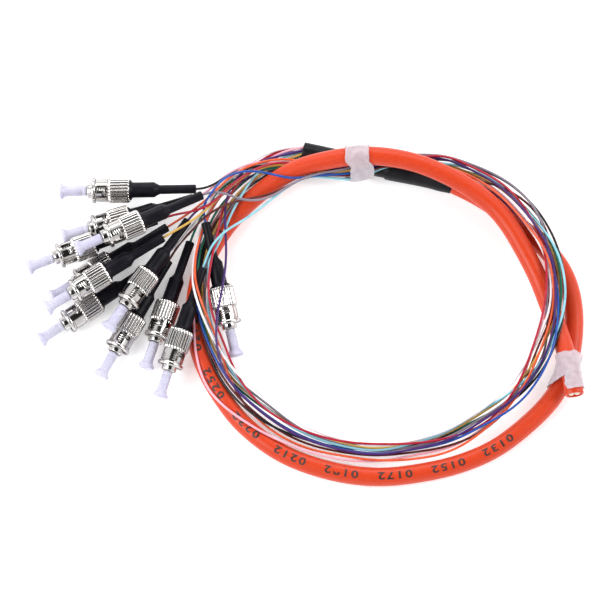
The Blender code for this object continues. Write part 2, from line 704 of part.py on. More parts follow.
def build():
    clear_scene()
    collection = bpy.data.collections.new("multi_fibre_pigtail")
    bpy.context.scene.collection.children.link(collection)
    cutters = bpy.data.collections.new("cutters")
    bpy.context.scene.collection.children.link(cutters)
    trunk, sleeve, fibres, connectors = lay_everything()

    jacket = material("jacket_orange", (0.83, 0.15, 0.03), 0.35)
    tube("trunk_cable", trunk, TRUNK_R, 4, collection, jacket)
    shrink = material("shrink_black", (0.015, 0.016, 0.018), 0.45)
    step = SLEEVE_STEP
    mouth_share = MOUTH_BORE_DEPTH / np.linalg.norm(np.diff(sleeve, axis=0), axis=1).sum()
    swept("heat_shrink_sleeve", sleeve,
          [(1.0, SLEEVE_THICK_R), (0.9, SLEEVE_THICK_R), (0.8, SLEEVE_THICK_R),
           (0.7, SLEEVE_THICK_R), (step + 0.02, SLEEVE_THICK_R), (step, SLEEVE_R),
           (0.45, SLEEVE_R), (0.34, SLEEVE_R), (0.22, SLEEVE_R), (0.1, SLEEVE_R),
           (0.0, SLEEVE_R), (0.0, MOUTH_BORE_R), (mouth_share, MOUTH_BORE_R)],
          16, collection, shrink)
    for colour, path in fibres.items():
        paint = material("jacket_" + colour, COLOURS[colour], 0.35)
        tube("fibre_" + colour, path, FIBRE_R, 2, collection, paint)

    tape = material("tape_white", (0.85, 0.78, 0.80), 0.5)
    strands = [(path, FIBRE_R) for path in fibres.values()]
    spot, along = tape_spot(trunk, TAPE_TOP)
    tape_band("tape_top", spot, along, TAPE_TOP_WIDTH,
              strands + [(trunk, TRUNK_R), (sleeve, SLEEVE_R)], collection, tape)
    spot, along = tape_spot(trunk, TAPE_RIGHT)
    tape_band("tape_right", spot, along, TAPE_RIGHT_WIDTH,
              [(trunk, TRUNK_R)], collection, tape)

    metal = material("nickel", (0.62, 0.61, 0.58), 0.25, 1.0)
    rubber = material("boot_black", (0.012, 0.012, 0.014), 0.6)
    cap_mat = material("cap_clear", (0.75, 0.72, 0.80), 0.4)
    for number, (start, along) in enumerate(connectors, 1):
        place = placement(start, along)
        turned("connector_body_%02d" % number,
               [(FERRULE_START, FERRULE_R), (NOSE_START, FERRULE_R), (NOSE_START, NOSE_R),
                (COLLAR_START, NOSE_R), (COLLAR_START, COLLAR_R),
                (COLLAR_START + COLLAR_T, COLLAR_R), (COLLAR_START + COLLAR_T, NOSE_R),
                (NUT_END, NOSE_R),
                (NUT_END, BOOT_R), (BOOT_STEP, BOOT_R), (BOOT_THIN_START, BOOT_THIN_R),
                (CONN_LENGTH, BOOT_THIN_R), (CONN_LENGTH, FIBRE_HOLE_R),
                (CONN_LENGTH - FIBRE_HOLE_DEPTH, FIBRE_HOLE_R)],
               12, place, collection, rubber)
        nut = turned("nut_%02d" % number,
                     [(NUT_START, NUT_BORE_R), (NUT_START, NUT_RIM_R),
                      (NUT_START + NUT_RIM_T, NUT_RIM_R), (NUT_START + NUT_RIM_T, NUT_SMOOTH_R),
                      (NUT_KNURL_START - 0.4, NUT_SMOOTH_R), (NUT_KNURL_START, NUT_KNURL_R),
                      (NUT_END, NUT_KNURL_R),
                      (NUT_END, NUT_LIP_R), (NUT_END - NUT_LIP_T, NUT_LIP_R),
                      (NUT_END - NUT_LIP_T, NUT_BORE_R)],
                     16, place, collection, metal,
                     flute=(NUT_KNURL_START - 0.2, NUT_END + 0.1, NUT_FLUTE, NUT_SMOOTH_R + 0.3),
                     closed=True)
        reach = NUT_RIM_R + 1.2
        slot = skin([[(x * MM, y * MM, z * MM) for x, y in
                      ((SLOT_FRONT, -SLOT_HALF), (SLOT_REAR, -SLOT_HALF),
                       (SLOT_REAR, SLOT_REACH), (SLOT_ARM, SLOT_REACH),
                       (SLOT_ARM, SLOT_HALF), (SLOT_FRONT, SLOT_HALF))]
                     for z in (-reach, reach)])
        cutter = mesh_object("slot_cutter_%02d" % number, slot, cutters, metal)
        cutter.matrix_world = place
        cutter.hide_render = True
        cutter.display_type = "WIRE"
        cut = nut.modifiers.new("slots", "BOOLEAN")
        cut.operation = "DIFFERENCE"
        cut.solver = "EXACT"
        cut.object = cutter
        turned("dust_cap_%02d" % number,
               [(0.0, CAP_FLANGE_R), (CAP_FLANGE_T, CAP_FLANGE_R), (CAP_FLANGE_T, CAP_R),
                (CAP_LENGTH, CAP_R), (CAP_LENGTH, CAP_BORE_R), (CAP_TIP_WALL, CAP_BORE_R)],
               12, place, collection, cap_mat)
    recentre(collection, cutters)


def recentre(collection, cutters):
    """Move everything so the origin is the bottom centre of the whole."""
    bpy.context.view_layer.update()
    graph = bpy.context.evaluated_depsgraph_get()
    corners = []
    for obj in collection.objects:
        mesh = obj.evaluated_get(graph).to_mesh()
        points = np.empty(len(mesh.vertices) * 3)
        mesh.vertices.foreach_get("co", points)
        points = points.reshape(-1, 3)
        turn = np.array(obj.matrix_world)
        points = points @ turn[:3, :3].T + turn[:3, 3]
        corners.append(points.min(axis=0))
        corners.append(points.max(axis=0))
    low = np.min(corners, axis=0)
    high = np.max(corners, axis=0)
    shift = Vector((-(low[0] + high[0]) / 2, -(low[1] + high[1]) / 2, -low[2]))
    for obj in list(collection.objects) + list(cutters.objects):
        obj.matrix_world = Matrix.Translation(shift) @ obj.matrix_world
    print("size_mm", (high - low) * 1000, "shift_mm", [round(v * 1000, 3) for v in shift])


build()
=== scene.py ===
# The looks of the multi-fibre pigtail, in the order in which it is put together:
# trunk cable, heat-shrink sleeve, connectors, the twelve fibres, tapes, and the floor.
import math
import random

import bmesh
import bpy
import numpy as np
from mathutils import Matrix, Vector


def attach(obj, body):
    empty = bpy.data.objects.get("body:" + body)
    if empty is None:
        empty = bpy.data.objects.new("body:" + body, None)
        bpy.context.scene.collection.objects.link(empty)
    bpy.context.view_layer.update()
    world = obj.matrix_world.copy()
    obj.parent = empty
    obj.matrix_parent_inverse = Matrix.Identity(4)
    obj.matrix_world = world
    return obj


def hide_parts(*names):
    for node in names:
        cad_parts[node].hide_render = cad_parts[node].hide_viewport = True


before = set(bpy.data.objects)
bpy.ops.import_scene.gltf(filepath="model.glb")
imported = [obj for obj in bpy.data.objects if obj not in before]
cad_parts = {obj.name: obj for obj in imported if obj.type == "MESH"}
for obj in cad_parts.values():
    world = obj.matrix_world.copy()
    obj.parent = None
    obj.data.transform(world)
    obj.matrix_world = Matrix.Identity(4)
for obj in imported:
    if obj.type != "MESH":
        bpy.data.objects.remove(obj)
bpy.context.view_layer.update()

# Camera: it looks down on the coil from 75 degrees above the floor, from far away.
# The routes below were read in that view, 2.68 units to a millimetre.
MM = 0.001
VIEW_UNITS_PER_MM = 2.68
VIEW_CENTRE = 300.0
VIEW_ELEVATION = math.radians(75.0)
VIEW_SIN = math.sin(VIEW_ELEVATION)
VIEW_COS = math.cos(VIEW_ELEVATION)
CAMERA_DISTANCE = 3.0
SENSOR_WIDTH = 36.0
PART_SHIFT = np.array([-1.54896, 6.17492, 0.2322])

aim = Vector(PART_SHIFT * MM)
back = Vector((0.0, -VIEW_COS, VIEW_SIN))
lens = bpy.data.cameras.new("camera")
lens.sensor_width = SENSOR_WIDTH
lens.lens = SENSOR_WIDTH * CAMERA_DISTANCE / (2 * VIEW_CENTRE / VIEW_UNITS_PER_MM * MM)
lens.clip_start = 0.1
lens.clip_end = 50.0
camera = bpy.data.objects.new("camera", lens)
camera.location = aim + back * CAMERA_DISTANCE
camera.rotation_euler = (math.pi / 2 - VIEW_ELEVATION, 0.0, 0.0)
bpy.context.scene.collection.objects.link(camera)
bpy.context.scene.camera = camera


def seen(u, v, z):
    """Point on the model in mm that the view shows at (u, v), z mm above the floor."""
    x = (u - VIEW_CENTRE) / VIEW_UNITS_PER_MM
    h = (VIEW_CENTRE - v) / VIEW_UNITS_PER_MM
    return (x, (h - z * VIEW_COS) / VIEW_SIN, z)


def view_of(point):
    """View position of a point in mm."""
    x, y, z = point
    h = y * VIEW_SIN + z * VIEW_COS
    return (VIEW_CENTRE + x * VIEW_UNITS_PER_MM, VIEW_CENTRE - h * VIEW_UNITS_PER_MM)


# Trunk cable: an extruded orange jacket, 7 mm across, over a bundle of yarn and fibres.
# It is coiled once and a bit, and cut square at its far end. Its ink marks are plain
# lengths in millimetres.
TRUNK_R = 3.5
TRUNK_POINTS = 66
TRUNK_LOW_END = 27
TRUNK_HIGH_END = 37
TRUNK = [
    (454.5, 184.5, 4.2), (482, 198, 3.7), (502, 212.5, 3.55), (528, 233, 3.55),
    (549, 252, 3.55), (563, 271, 3.55), (572, 298, 3.55), (573.6, 328, 3.8),
    (569, 360, 4.3), (557, 390, 4.1), (537, 414, 3.6), (506, 440, 3.55),
    (484, 453, 3.55), (455, 464, 3.55), (424, 471, 3.55), (380, 476, 3.55),
    (333, 470.5, 3.55), (283, 453, 3.55), (244, 424, 3.55), (226, 402, 3.55),
    (210, 377, 3.55), (199, 350, 3.55), (195, 325, 3.55), (195.5, 300, 3.55),
    (199.5, 277, 3.55), (208, 255, 3.6), (222, 232, 3.8), (241, 209, 5.0),
    (263, 190, 7.2), (285, 174.5, 9.6), (305, 165.5, 11.6), (345, 157, 14.5),
    (372, 155.5, 15.2), (400, 159, 15.3), (420, 164, 15.0), (442, 173, 14.1),
    (470, 188, 12.4), (500, 213, 10.7), (519, 242, 9.2), (530, 262, 8.0),
    (538, 278, 7.2), (546, 300, 6.9), (554, 320, 8.0), (560, 338, 9.6),
    (565, 354, 11.4), (569, 372, 12.0), (572.5, 394, 13.2),
]
TRUNK_SIDES = 40
TRUNK_STEP = 1.4
CUT_WALL = 0.95
CUT_DEPTH = 0.8
CUT_FLAT = 0.22
CUT_FLAT_LENGTH = 9.0
INK_HEIGHT = 2.8
INK_WIDEN = 1.35
INK_BOLD = 0.1
INK_START = 132.0
INK_LAST = 320.0
INK_PITCH = 20.0
INK_OFF_TOP = math.radians(4.0)
INK_PROUD = 0.062


def distances(path):
    """How far along a path each of its points lies."""
    return np.concatenate([[0], np.cumsum(np.linalg.norm(np.diff(path, axis=0), axis=1))])


def even(path, count):
    """The same path read at count evenly spaced points."""
    run = distances(path)
    want = np.linspace(0, run[-1], count)
    return np.column_stack([np.interp(want, run, path[:, k]) for k in range(path.shape[1])])


def spline(points, count):
    """count evenly spaced points on a smooth curve through the points."""
    pts = np.array(points, dtype=float)
    pts = np.vstack([2 * pts[0] - pts[1], pts, 2 * pts[-1] - pts[-2]])
    fine = []
    for i in range(1, len(pts) - 2):
        p0, p1, p2, p3 = pts[i - 1:i + 3]
        for t in np.linspace(0, 1, 12, endpoint=False):
            fine.append(0.5 * (2 * p1 + (p2 - p0) * t
                               + (2 * p0 - 5 * p1 + 4 * p2 - p3) * t ** 2
                               + (3 * p1 - p0 - 3 * p2 + p3) * t ** 3))
    fine.append(pts[-2])
    return even(np.array(fine), count)


def softened(path, reach):
    """The path with its small bends evened out over reach points, its ends kept."""
    out = path.copy()
    for _ in range(reach):
        out[1:-1] += 0.5 * ((out[:-2] + out[2:]) / 2 - out[1:-1])
    return out


def across(along):
    """Two directions across a direction, the second one upmost."""
    side = np.array([along[1], -along[0], 0.0])
    side /= np.linalg.norm(side)
    return side, np.cross(side, along)


def station(at, run, line, heading):
    """Centre of a path and two directions across it, at a distance along it."""
    centre = np.array([np.interp(at, run, line[:, k]) for k in range(3)])
    along = np.array([np.interp(at, run, heading[:, k]) for k in range(3)])
    return (centre, *across(along / np.linalg.norm(along)))


def headings(path):
    """Unit direction of a path at each of its points."""
    turn = np.gradient(path, axis=0)
    return turn / np.linalg.norm(turn, axis=1)[:, None]


def loft(name, rings, lengths, loop=False):
    """A smooth mesh over rings of points in mm, with its length and turn as a UV map."""
    bm = bmesh.new()
    sheet = bm.loops.layers.uv.new("along")
    made = [[bm.verts.new(tuple(np.array(p) * MM)) for p in ring] for ring in rings]
    pairs = list(range(len(made) - 1))
    if loop:
        pairs.append(-1)
    count = len(made[0])
    for i in pairs:
        for k in range(count):
            far = (k + 1) % count
            face = bm.faces.new((made[i][k], made[i][far], made[i + 1][far], made[i + 1][k]))
            corners = ((i, k), (i, k + 1), (i + 1, k + 1), (i + 1, k))
            for corner, (row, place) in zip(face.loops, corners):
                corner[sheet].uv = (lengths[row] * MM, place / count)
    if not loop:
        bm.faces.new(list(reversed(made[0])))
        bm.faces.new(made[-1])
    bmesh.ops.recalc_face_normals(bm, faces=bm.faces)
    mesh = bpy.data.meshes.new(name)
    bm.to_mesh(mesh)
    bm.free()
    mesh.shade_smooth()
    mesh.set_sharp_from_angle(angle=math.radians(40))
    return mesh


def show(name, data, material, body, nodes=()):
    """Puts a finished piece in the scene, on its body, in place of its CAD nodes."""
    piece = bpy.data.objects.new(name, data)
    bpy.context.scene.collection.objects.link(piece)
    data.materials.clear()
    for paint in material if isinstance(material, tuple) else (material,):
        data.materials.append(paint)
    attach(piece, body)
    if nodes:
        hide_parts(*nodes)
    return piece


def make_unevenness():
    """Node group: broad patches, fine grain and rare specks on any surface."""
    group = bpy.data.node_groups.new("unevenness", "ShaderNodeTree")
    group.interface.new_socket("Vector", in_out="INPUT", socket_type="NodeSocketVector")
    for socket, start in (("Patch Scale", 60.0), ("Grain Scale", 1500.0)):
        entry = group.interface.new_socket(socket, in_out="INPUT", socket_type="NodeSocketFloat")
        entry.default_value = start
    for socket in ("Patches", "Grain", "Specks"):
        group.interface.new_socket(socket, in_out="OUTPUT", socket_type="NodeSocketFloat")
    entry = group.nodes.new("NodeGroupInput")
    leave = group.nodes.new("NodeGroupOutput")
    for socket, scale, detail in (("Patches", "Patch Scale", 3.0), ("Grain", "Grain Scale", 4.0)):
        noise = group.nodes.new("ShaderNodeTexNoise")
        noise.inputs["Detail"].default_value = detail
        group.links.new(entry.outputs["Vector"], noise.inputs["Vector"])
        group.links.new(entry.outputs[scale], noise.inputs["Scale"])
        group.links.new(noise.outputs["Fac"], leave.inputs[socket])
    spots = group.nodes.new("ShaderNodeTexVoronoi")
    group.links.new(entry.outputs["Vector"], spots.inputs["Vector"])
    group.links.new(entry.outputs["Grain Scale"], spots.inputs["Scale"])
    cut = group.nodes.new("ShaderNodeMapRange")
    cut.inputs["From Min"].default_value = 0.22
    cut.inputs["From Max"].default_value = 0.05
    group.links.new(spots.outputs["Distance"], cut.inputs["Value"])
    group.links.new(cut.outputs["Result"], leave.inputs["Specks"])
    return group


unevenness = make_unevenness()


def worked_finish(name, dark, light, rough, patch=60.0, grain=1500.0, bump=0.00002,
                  metallic=0.0, stretch=None, coat=0.0, specks=0.0, **fixed):
    """A material whose colour, roughness and relief vary as the real finish does."""
    mat = bpy.data.materials.new(name)
    mat.use_nodes = True
    nodes = mat.node_tree.nodes
    links = mat.node_tree.links
    shader = nodes["Principled BSDF"]
    shader.inputs["Metallic"].default_value = metallic
    shader.inputs["Coat Weight"].default_value = coat
    shader.inputs["Coat Roughness"].default_value = 0.12
    for socket, value in fixed.items():
        shader.inputs[socket.replace("_", " ")].default_value = value
    place = nodes.new("ShaderNodeTexCoord")
    vary = nodes.new("ShaderNodeGroup")
    vary.node_tree = unevenness
    vary.inputs["Patch Scale"].default_value = patch
    vary.inputs["Grain Scale"].default_value = grain
    if stretch:
        pull = nodes.new("ShaderNodeMapping")
        pull.inputs["Scale"].default_value = stretch
        links.new(place.outputs["UV"], pull.inputs["Vector"])
        links.new(pull.outputs["Vector"], vary.inputs["Vector"])
    else:
        links.new(place.outputs["Object"], vary.inputs["Vector"])
    tone = nodes.new("ShaderNodeMix")
    tone.data_type = "RGBA"
    tone.inputs[6].default_value = (*dark, 1.0)
    tone.inputs[7].default_value = (*light, 1.0)
    spread = nodes.new("ShaderNodeMapRange")
    spread.inputs["From Min"].default_value = 0.3
    spread.inputs["From Max"].default_value = 0.7
    links.new(vary.outputs["Patches"], spread.inputs["Value"])
    links.new(spread.outputs["Result"], tone.inputs[0])
    colour = tone.outputs[2]
    if specks:
        dust = nodes.new("ShaderNodeMix")
        dust.data_type = "RGBA"
        dust.inputs[7].default_value = (0.6, 0.58, 0.56, 1.0)
        share = nodes.new("ShaderNodeMath")
        share.operation = "MULTIPLY"
        share.inputs[1].default_value = specks
        links.new(vary.outputs["Specks"], share.inputs[0])
        links.new(share.outputs[0], dust.inputs[0])
        links.new(colour, dust.inputs[6])
        colour = dust.outputs[2]
    links.new(colour, shader.inputs["Base Color"])
    polish = nodes.new("ShaderNodeMapRange")
    polish.inputs["To Min"].default_value = rough[0]
    polish.inputs["To Max"].default_value = rough[1]
    links.new(vary.outputs["Grain"], polish.inputs["Value"])
    links.new(polish.outputs["Result"], shader.inputs["Roughness"])
    relief = nodes.new("ShaderNodeBump")
    relief.inputs["Strength"].default_value = 1.0
    relief.inputs["Distance"].default_value = bump
    links.new(vary.outputs["Grain"], relief.inputs["Height"])
    links.new(relief.outputs["Normal"], shader.inputs["Normal"])
    return mat


trunk_route = spline([seen(*p) for p in TRUNK], TRUNK_POINTS)
trunk_length = np.linalg.norm(np.diff(trunk_route, axis=0), axis=1).sum()
trunk_line = spline(trunk_route, int(trunk_length / TRUNK_STEP))
trunk_line = softened(trunk_line, 12)
trunk_run = distances(trunk_line)
trunk_turns = np.arange(TRUNK_SIDES) * 2 * math.pi / TRUNK_SIDES


def trunk_ring(at, radius, flat=0.0):
    """A ring round the trunk at a distance along it, pressed flat by a share."""
    centre, side, up = station(at, trunk_run, trunk_line, trunk_heading)
    return [centre + PART_SHIFT + radius * (math.cos(a) * (1 + 0.02 * flat) * side
                                            + math.sin(a) * (1 - flat) * up)
            for a in trunk_turns]


trunk_heading = headings(trunk_line)
trunk_end = trunk_run[-1]
trunk_rings = []
trunk_marks = []
for at in trunk_run[:-1]:
    swell = 1 + 0.006 * math.sin(at / 23.0) + 0.004 * math.sin(at / 7.3)
    pressed = CUT_FLAT * max(0.0, (at - trunk_end + CUT_FLAT_LENGTH) / CUT_FLAT_LENGTH)
    trunk_rings.append(trunk_ring(at, TRUNK_R * swell, pressed))
    trunk_marks.append(at)
for at, radius in ((trunk_end - 0.2, TRUNK_R), (trunk_end, TRUNK_R - 0.2),
                   (trunk_end, TRUNK_R - CUT_WALL), (trunk_end - CUT_DEPTH, TRUNK_R - CUT_WALL)):
    trunk_rings.append(trunk_ring(at, radius, CUT_FLAT))
    trunk_marks.append(at)
orange_jacket = worked_finish(
    "orange_jacket", (0.55, 0.040, 0.010), (0.62, 0.055, 0.014), (0.30, 0.42), patch=2.0,
    grain=1.0, bump=0.00003, stretch=(260.0, 26.0, 1.0), Specular_IOR_Level=0.3)
trunk_jacket = show("trunk_jacket", loft("trunk_jacket", trunk_rings, trunk_marks),
                    orange_jacket, "pigtail", ["trunk_cable"])


def ink_numbers():
    """Plain length marks in mm laid on the jacket, reading along the cable."""
    bm = bmesh.new()
    for middle in np.arange(INK_START, INK_LAST, INK_PITCH):
        letters = bpy.data.curves.new("ink", "FONT")
        letters.body = "%04d" % middle
        letters.size = INK_HEIGHT * 1.38 * MM
        letters.offset = INK_BOLD * MM
        letters.space_character = 1.3
        letters.align_x = "CENTER"
        letters.align_y = "CENTER"
        stamp = bpy.data.objects.new("ink", letters)
        bpy.context.scene.collection.objects.link(stamp)
        bpy.context.view_layer.update()
        flat = bpy.data.meshes.new_from_object(stamp.evaluated_get(
            bpy.context.evaluated_depsgraph_get()))
        bpy.data.objects.remove(stamp, do_unlink=True)
        word = bmesh.new()
        word.from_mesh(flat)
        for cut in np.arange(-2.0, 2.01, 0.25):
            bmesh.ops.bisect_plane(word, geom=word.verts[:] + word.edges[:] + word.faces[:],
                                   plane_co=(0, cut * MM, 0), plane_no=(0, 1, 0))
        for vert in word.verts:
            at = middle + INK_WIDEN * vert.co.x / MM
            turn = math.pi / 2 + INK_OFF_TOP + (vert.co.y / MM) / TRUNK_R
            centre, side, up = station(at, trunk_run, trunk_line, trunk_heading)
            out = (TRUNK_R + INK_PROUD) * (math.cos(turn) * side + math.sin(turn) * up)
            vert.co = Vector((centre + PART_SHIFT + out) * MM)
        word.to_mesh(flat)
        word.free()
        bm.from_mesh(flat)
        bpy.data.meshes.remove(flat)
    bmesh.ops.remove_doubles(bm, verts=bm.verts, dist=1e-7)
    mesh = bpy.data.meshes.new("ink_numbers")
    bm.to_mesh(mesh)
    bm.free()
    return mesh


ink = worked_finish("black_ink", (0.012, 0.01, 0.01), (0.05, 0.03, 0.025), (0.45, 0.6),
                    patch=500.0)
show("ink_numbers", ink_numbers(), ink, "pigtail")

# Yarn and core at the cut end: two flattened bundles of pale strength yarn with the
# bare fibres in them, set back a little behind the jacket's edge.
CORE_SIDES = 28
for number, offset in ((1, -1.15), (2, 1.15)):
    rings = []
    marks = []
    for at, radius in ((trunk_end - 3.0, 1.02), (trunk_end - 0.45, 1.02),
                       (trunk_end - 0.3, 0.9), (trunk_end - 0.25, 0.5)):
        centre = np.array([np.interp(at, trunk_run, trunk_line[:, k]) for k in range(3)])
        side, up = across(trunk_heading[-1])
        ring = []
        for k in range(CORE_SIDES):
            a = k * 2 * math.pi / CORE_SIDES
            ragged = 1 + 0.05 * math.sin(7 * a + number)
            ring.append(centre + PART_SHIFT + side * (offset + radius * 1.08 * math.cos(a))
                        + up * radius * 1.5 * ragged * math.sin(a))
        rings.append(ring)
        marks.append(at)
    yarn = worked_finish("strength_yarn_%d" % number, (0.72, 0.50, 0.38), (0.90, 0.78, 0.66),
                         (0.5, 0.8), patch=900.0, grain=4000.0, bump=0.0001)
    show("core_bundle_%d" % number, loft("core_bundle_%d" % number, rings, marks), yarn,
         "pigtail")

# Heat-shrink sleeve: black polyolefin shrunk over the point where the fibres leave the
# trunk. A second, shorter length laps the first one towards the trunk.
SLEEVE = [(303, 151, 4.0), (345, 160, 4.4), (393, 169.5, 4.3), (430, 177, 4.3),
          (453, 184, 4.3)]
SLEEVE_R = 3.6
SLEEVE_THICK_R = 4.2
SLEEVE_STEP = 0.55
SLEEVE_WALL = 0.55
MOUTH_BORE_DEPTH = 4.0
SLEEVE_SIDES = 48

sleeve_route = spline([seen(*p) for p in SLEEVE], 12)
sleeve_line = softened(spline(sleeve_route, 90), 3)
sleeve_heading = headings(sleeve_line)
sleeve_run = distances(sleeve_line)
sleeve_end = sleeve_run[-1]


def sleeve_ring(at, radius, ripple):
    """A ring of the sleeve, rippled by the fibres and their order under it."""
    centre, side, up = station(at, sleeve_run, sleeve_line, sleeve_heading)
    ring = []
    for k in range(SLEEVE_SIDES):
        a = k * 2 * math.pi / SLEEVE_SIDES
        wave = math.sin(5 * a + at / 9) + 0.6 * math.sin(9 * a - at / 13)
        out = radius * (1 + ripple * wave)
        ring.append(centre + PART_SHIFT + out * (math.cos(a) * side + math.sin(a) * up))
    return ring


sleeve_rings = []
sleeve_marks = []
for at in np.concatenate([[0.0, 0.25], np.arange(1.0, sleeve_end, 0.8), [sleeve_end]]):
    share = at / sleeve_end
    lap = min(1.0, max(0.0, (share - SLEEVE_STEP) / 0.012))
    radius = SLEEVE_R + (SLEEVE_THICK_R - SLEEVE_R) * lap
    if at < 0.2:
        radius -= 0.12
    if share > 0.93:
        radius -= 0.5 * (share - 0.93) / 0.07
    sleeve_rings.append(sleeve_ring(at, radius * 0.992, 0.008))
    sleeve_marks.append(at)
sleeve_rings = sleeve_rings[::-1]
sleeve_marks = sleeve_marks[::-1]
for at in (0.0, 0.3, 2.0, MOUTH_BORE_DEPTH):
    sleeve_rings.append(sleeve_ring(at, SLEEVE_R - SLEEVE_WALL - (0.0 if at else -0.1), 0.012))
    sleeve_marks.append(at)
shrink_black = worked_finish("shrink_black", (0.003, 0.003, 0.005), (0.012, 0.012, 0.015),
                             (0.34, 0.5), patch=120.0, grain=900.0, bump=0.00004,
                             Specular_IOR_Level=0.18)
show("shrink_tube", loft("shrink_tube", sleeve_rings, sleeve_marks), shrink_black,
     "pigtail", ["heat_shrink_sleeve"])

# Connectors: where each lies. A row gives its cap's tip and its boot's tip in the view,
# their heights in mm, and the colour of its fibre.
CONNECTORS = [
    ((62, 191), (193, 189), 4.9, 9.4, "black"),
    ((62, 237), (193, 198), 5.1, 5.1, "rose"),
    ((75.5, 250), (204.5, 194.5), 19.8, 18.6, "slate"),
    ((27, 268), (158, 220), 10.0, 12.2, "red"),
    ((45.5, 309.5), (165, 237), 13.2, 16.2, "yellow"),
    ((49, 299), (169, 226), 5.1, 5.1, "orange"),
    ((39.5, 341), (154, 264), 5.1, 5.1, "white"),
    ((107, 331), (190, 218), 14.0, 13.4, "violet"),
    ((99.8, 378), (169.8, 259), 5.1, 5.1, "brown"),
    ((145.5, 369.5), (190.8, 240.6), 5.1, 5.1, "green"),
    ((159.5, 399), (204, 266), 7.5, 12.9, "aqua"),
    ((236, 355), (206, 224), 3.9, 12.9, "blue"),
]
CONN_LENGTH = 51.3
TURNED_SIDES = 64


def connector_axis(tip, boot, tip_z, boot_z):
    """Cap tip and direction of a connector, in mm."""
    a = np.array(seen(*tip, tip_z))
    b = np.array(seen(*boot, boot_z))
    along = (b - a) / np.linalg.norm(b - a)
    return (a + b) / 2 - along * CONN_LENGTH / 2, along


connector_axes = [connector_axis(*row[:4]) for row in CONNECTORS]


def turned(name, profile, sides=TURNED_SIDES, loop=False):
    """A turned piece about X from (distance, radius) points in mm, from the cap's tip."""
    turns = (np.arange(sides) + 0.5) * 2 * math.pi / sides
    rings = [[(x, r * math.cos(a), r * math.sin(a)) for a in turns] for x, r in profile]
    return loft(name, rings, distances(profile), loop)


def laid(mesh, number, roll=0.0):
    """A copy of a connector's piece, laid where that connector is."""
    start, along = connector_axes[number - 1]
    side, up = across(along)
    turn = Matrix((along, side, -up)).transposed()
    if turn.determinant() < 0:
        turn = Matrix((along, side, up)).transposed()
    place = turn.to_4x4()
    place.translation = Vector((start + PART_SHIFT) * MM)
    copy = mesh.copy()
    copy.transform(place @ Matrix.Rotation(roll, 4, "X"))
    return copy


# Ferrule and barrel: a white ceramic ferrule pressed into a nickel-plated barrel that
# has a locating key, drawn only as painted shade: dark strips on the barrel's top and
# bottom. The barrel runs back inside the nut to the boot; that part is painted dark as shade.
FERRULE_R = 1.25
NOSE_R = 2.8
NOSE_START = 10.5
COLLAR_R = 3.4
NUT_START = 12.3
NUT_END = 26.5
ferrule_mesh = turned("ferrule", [
    (3.0, 0.15), (3.0, 0.95), (3.25, FERRULE_R), (10.45, FERRULE_R), (10.45, 0.4)], 40)
barrel_mesh = turned("barrel", [
    (NOSE_START + 0.5, 1.3), (NOSE_START + 0.5, 2.0), (NOSE_START, 2.1),
    (NOSE_START, NOSE_R - 0.35), (NOSE_START + 0.12, NOSE_R - 0.12),
    (NOSE_START + 0.35, NOSE_R), (NUT_START + 0.6, NOSE_R), (NUT_START + 0.7, NOSE_R - 0.4),
    (NUT_START + 1.2, NOSE_R - 0.4), (NUT_START + 1.3, NOSE_R), (17.8, NOSE_R),
    (17.8, COLLAR_R - 0.15), (17.95, COLLAR_R), (19.65, COLLAR_R),
    (19.8, COLLAR_R - 0.15), (19.8, NOSE_R), (24.6, NOSE_R), (24.6, 1.0)])
# Painted shade: the barrel inside the nut and the strips where the key's notch would be take the
# dark shaded nickel.
for face in barrel_mesh.polygons:
    inside = face.center.x > (NUT_START + 0.65) * MM
    flat = math.degrees(math.atan2(abs(face.center.y), abs(face.center.z)))
    face.material_index = 1 if inside or flat < 12 else 0
ceramic = worked_finish("ferrule_ceramic", (0.80, 0.79, 0.76), (0.88, 0.87, 0.84),
                        (0.12, 0.2), patch=300.0, bump=0.000004)
nickel = worked_finish("nickel_plate", (0.60, 0.58, 0.565), (0.72, 0.70, 0.68), (0.08, 0.17),
                       patch=160.0, grain=2500.0, bump=0.000001, metallic=1.0,
                       Specular_Tint=(0.30, 0.30, 0.32, 1.0))
# Dark nickel painted where shade falls on the connectors: the barrel inside the nut, the key's
# notch, and the nut's bore, neck, grip grooves and ridge ends.
shaded_nickel = worked_finish("shaded_nickel", (0.045, 0.042, 0.04), (0.10, 0.095, 0.09),
                              (0.25, 0.4), patch=300.0, bump=0.000001, metallic=1.0)

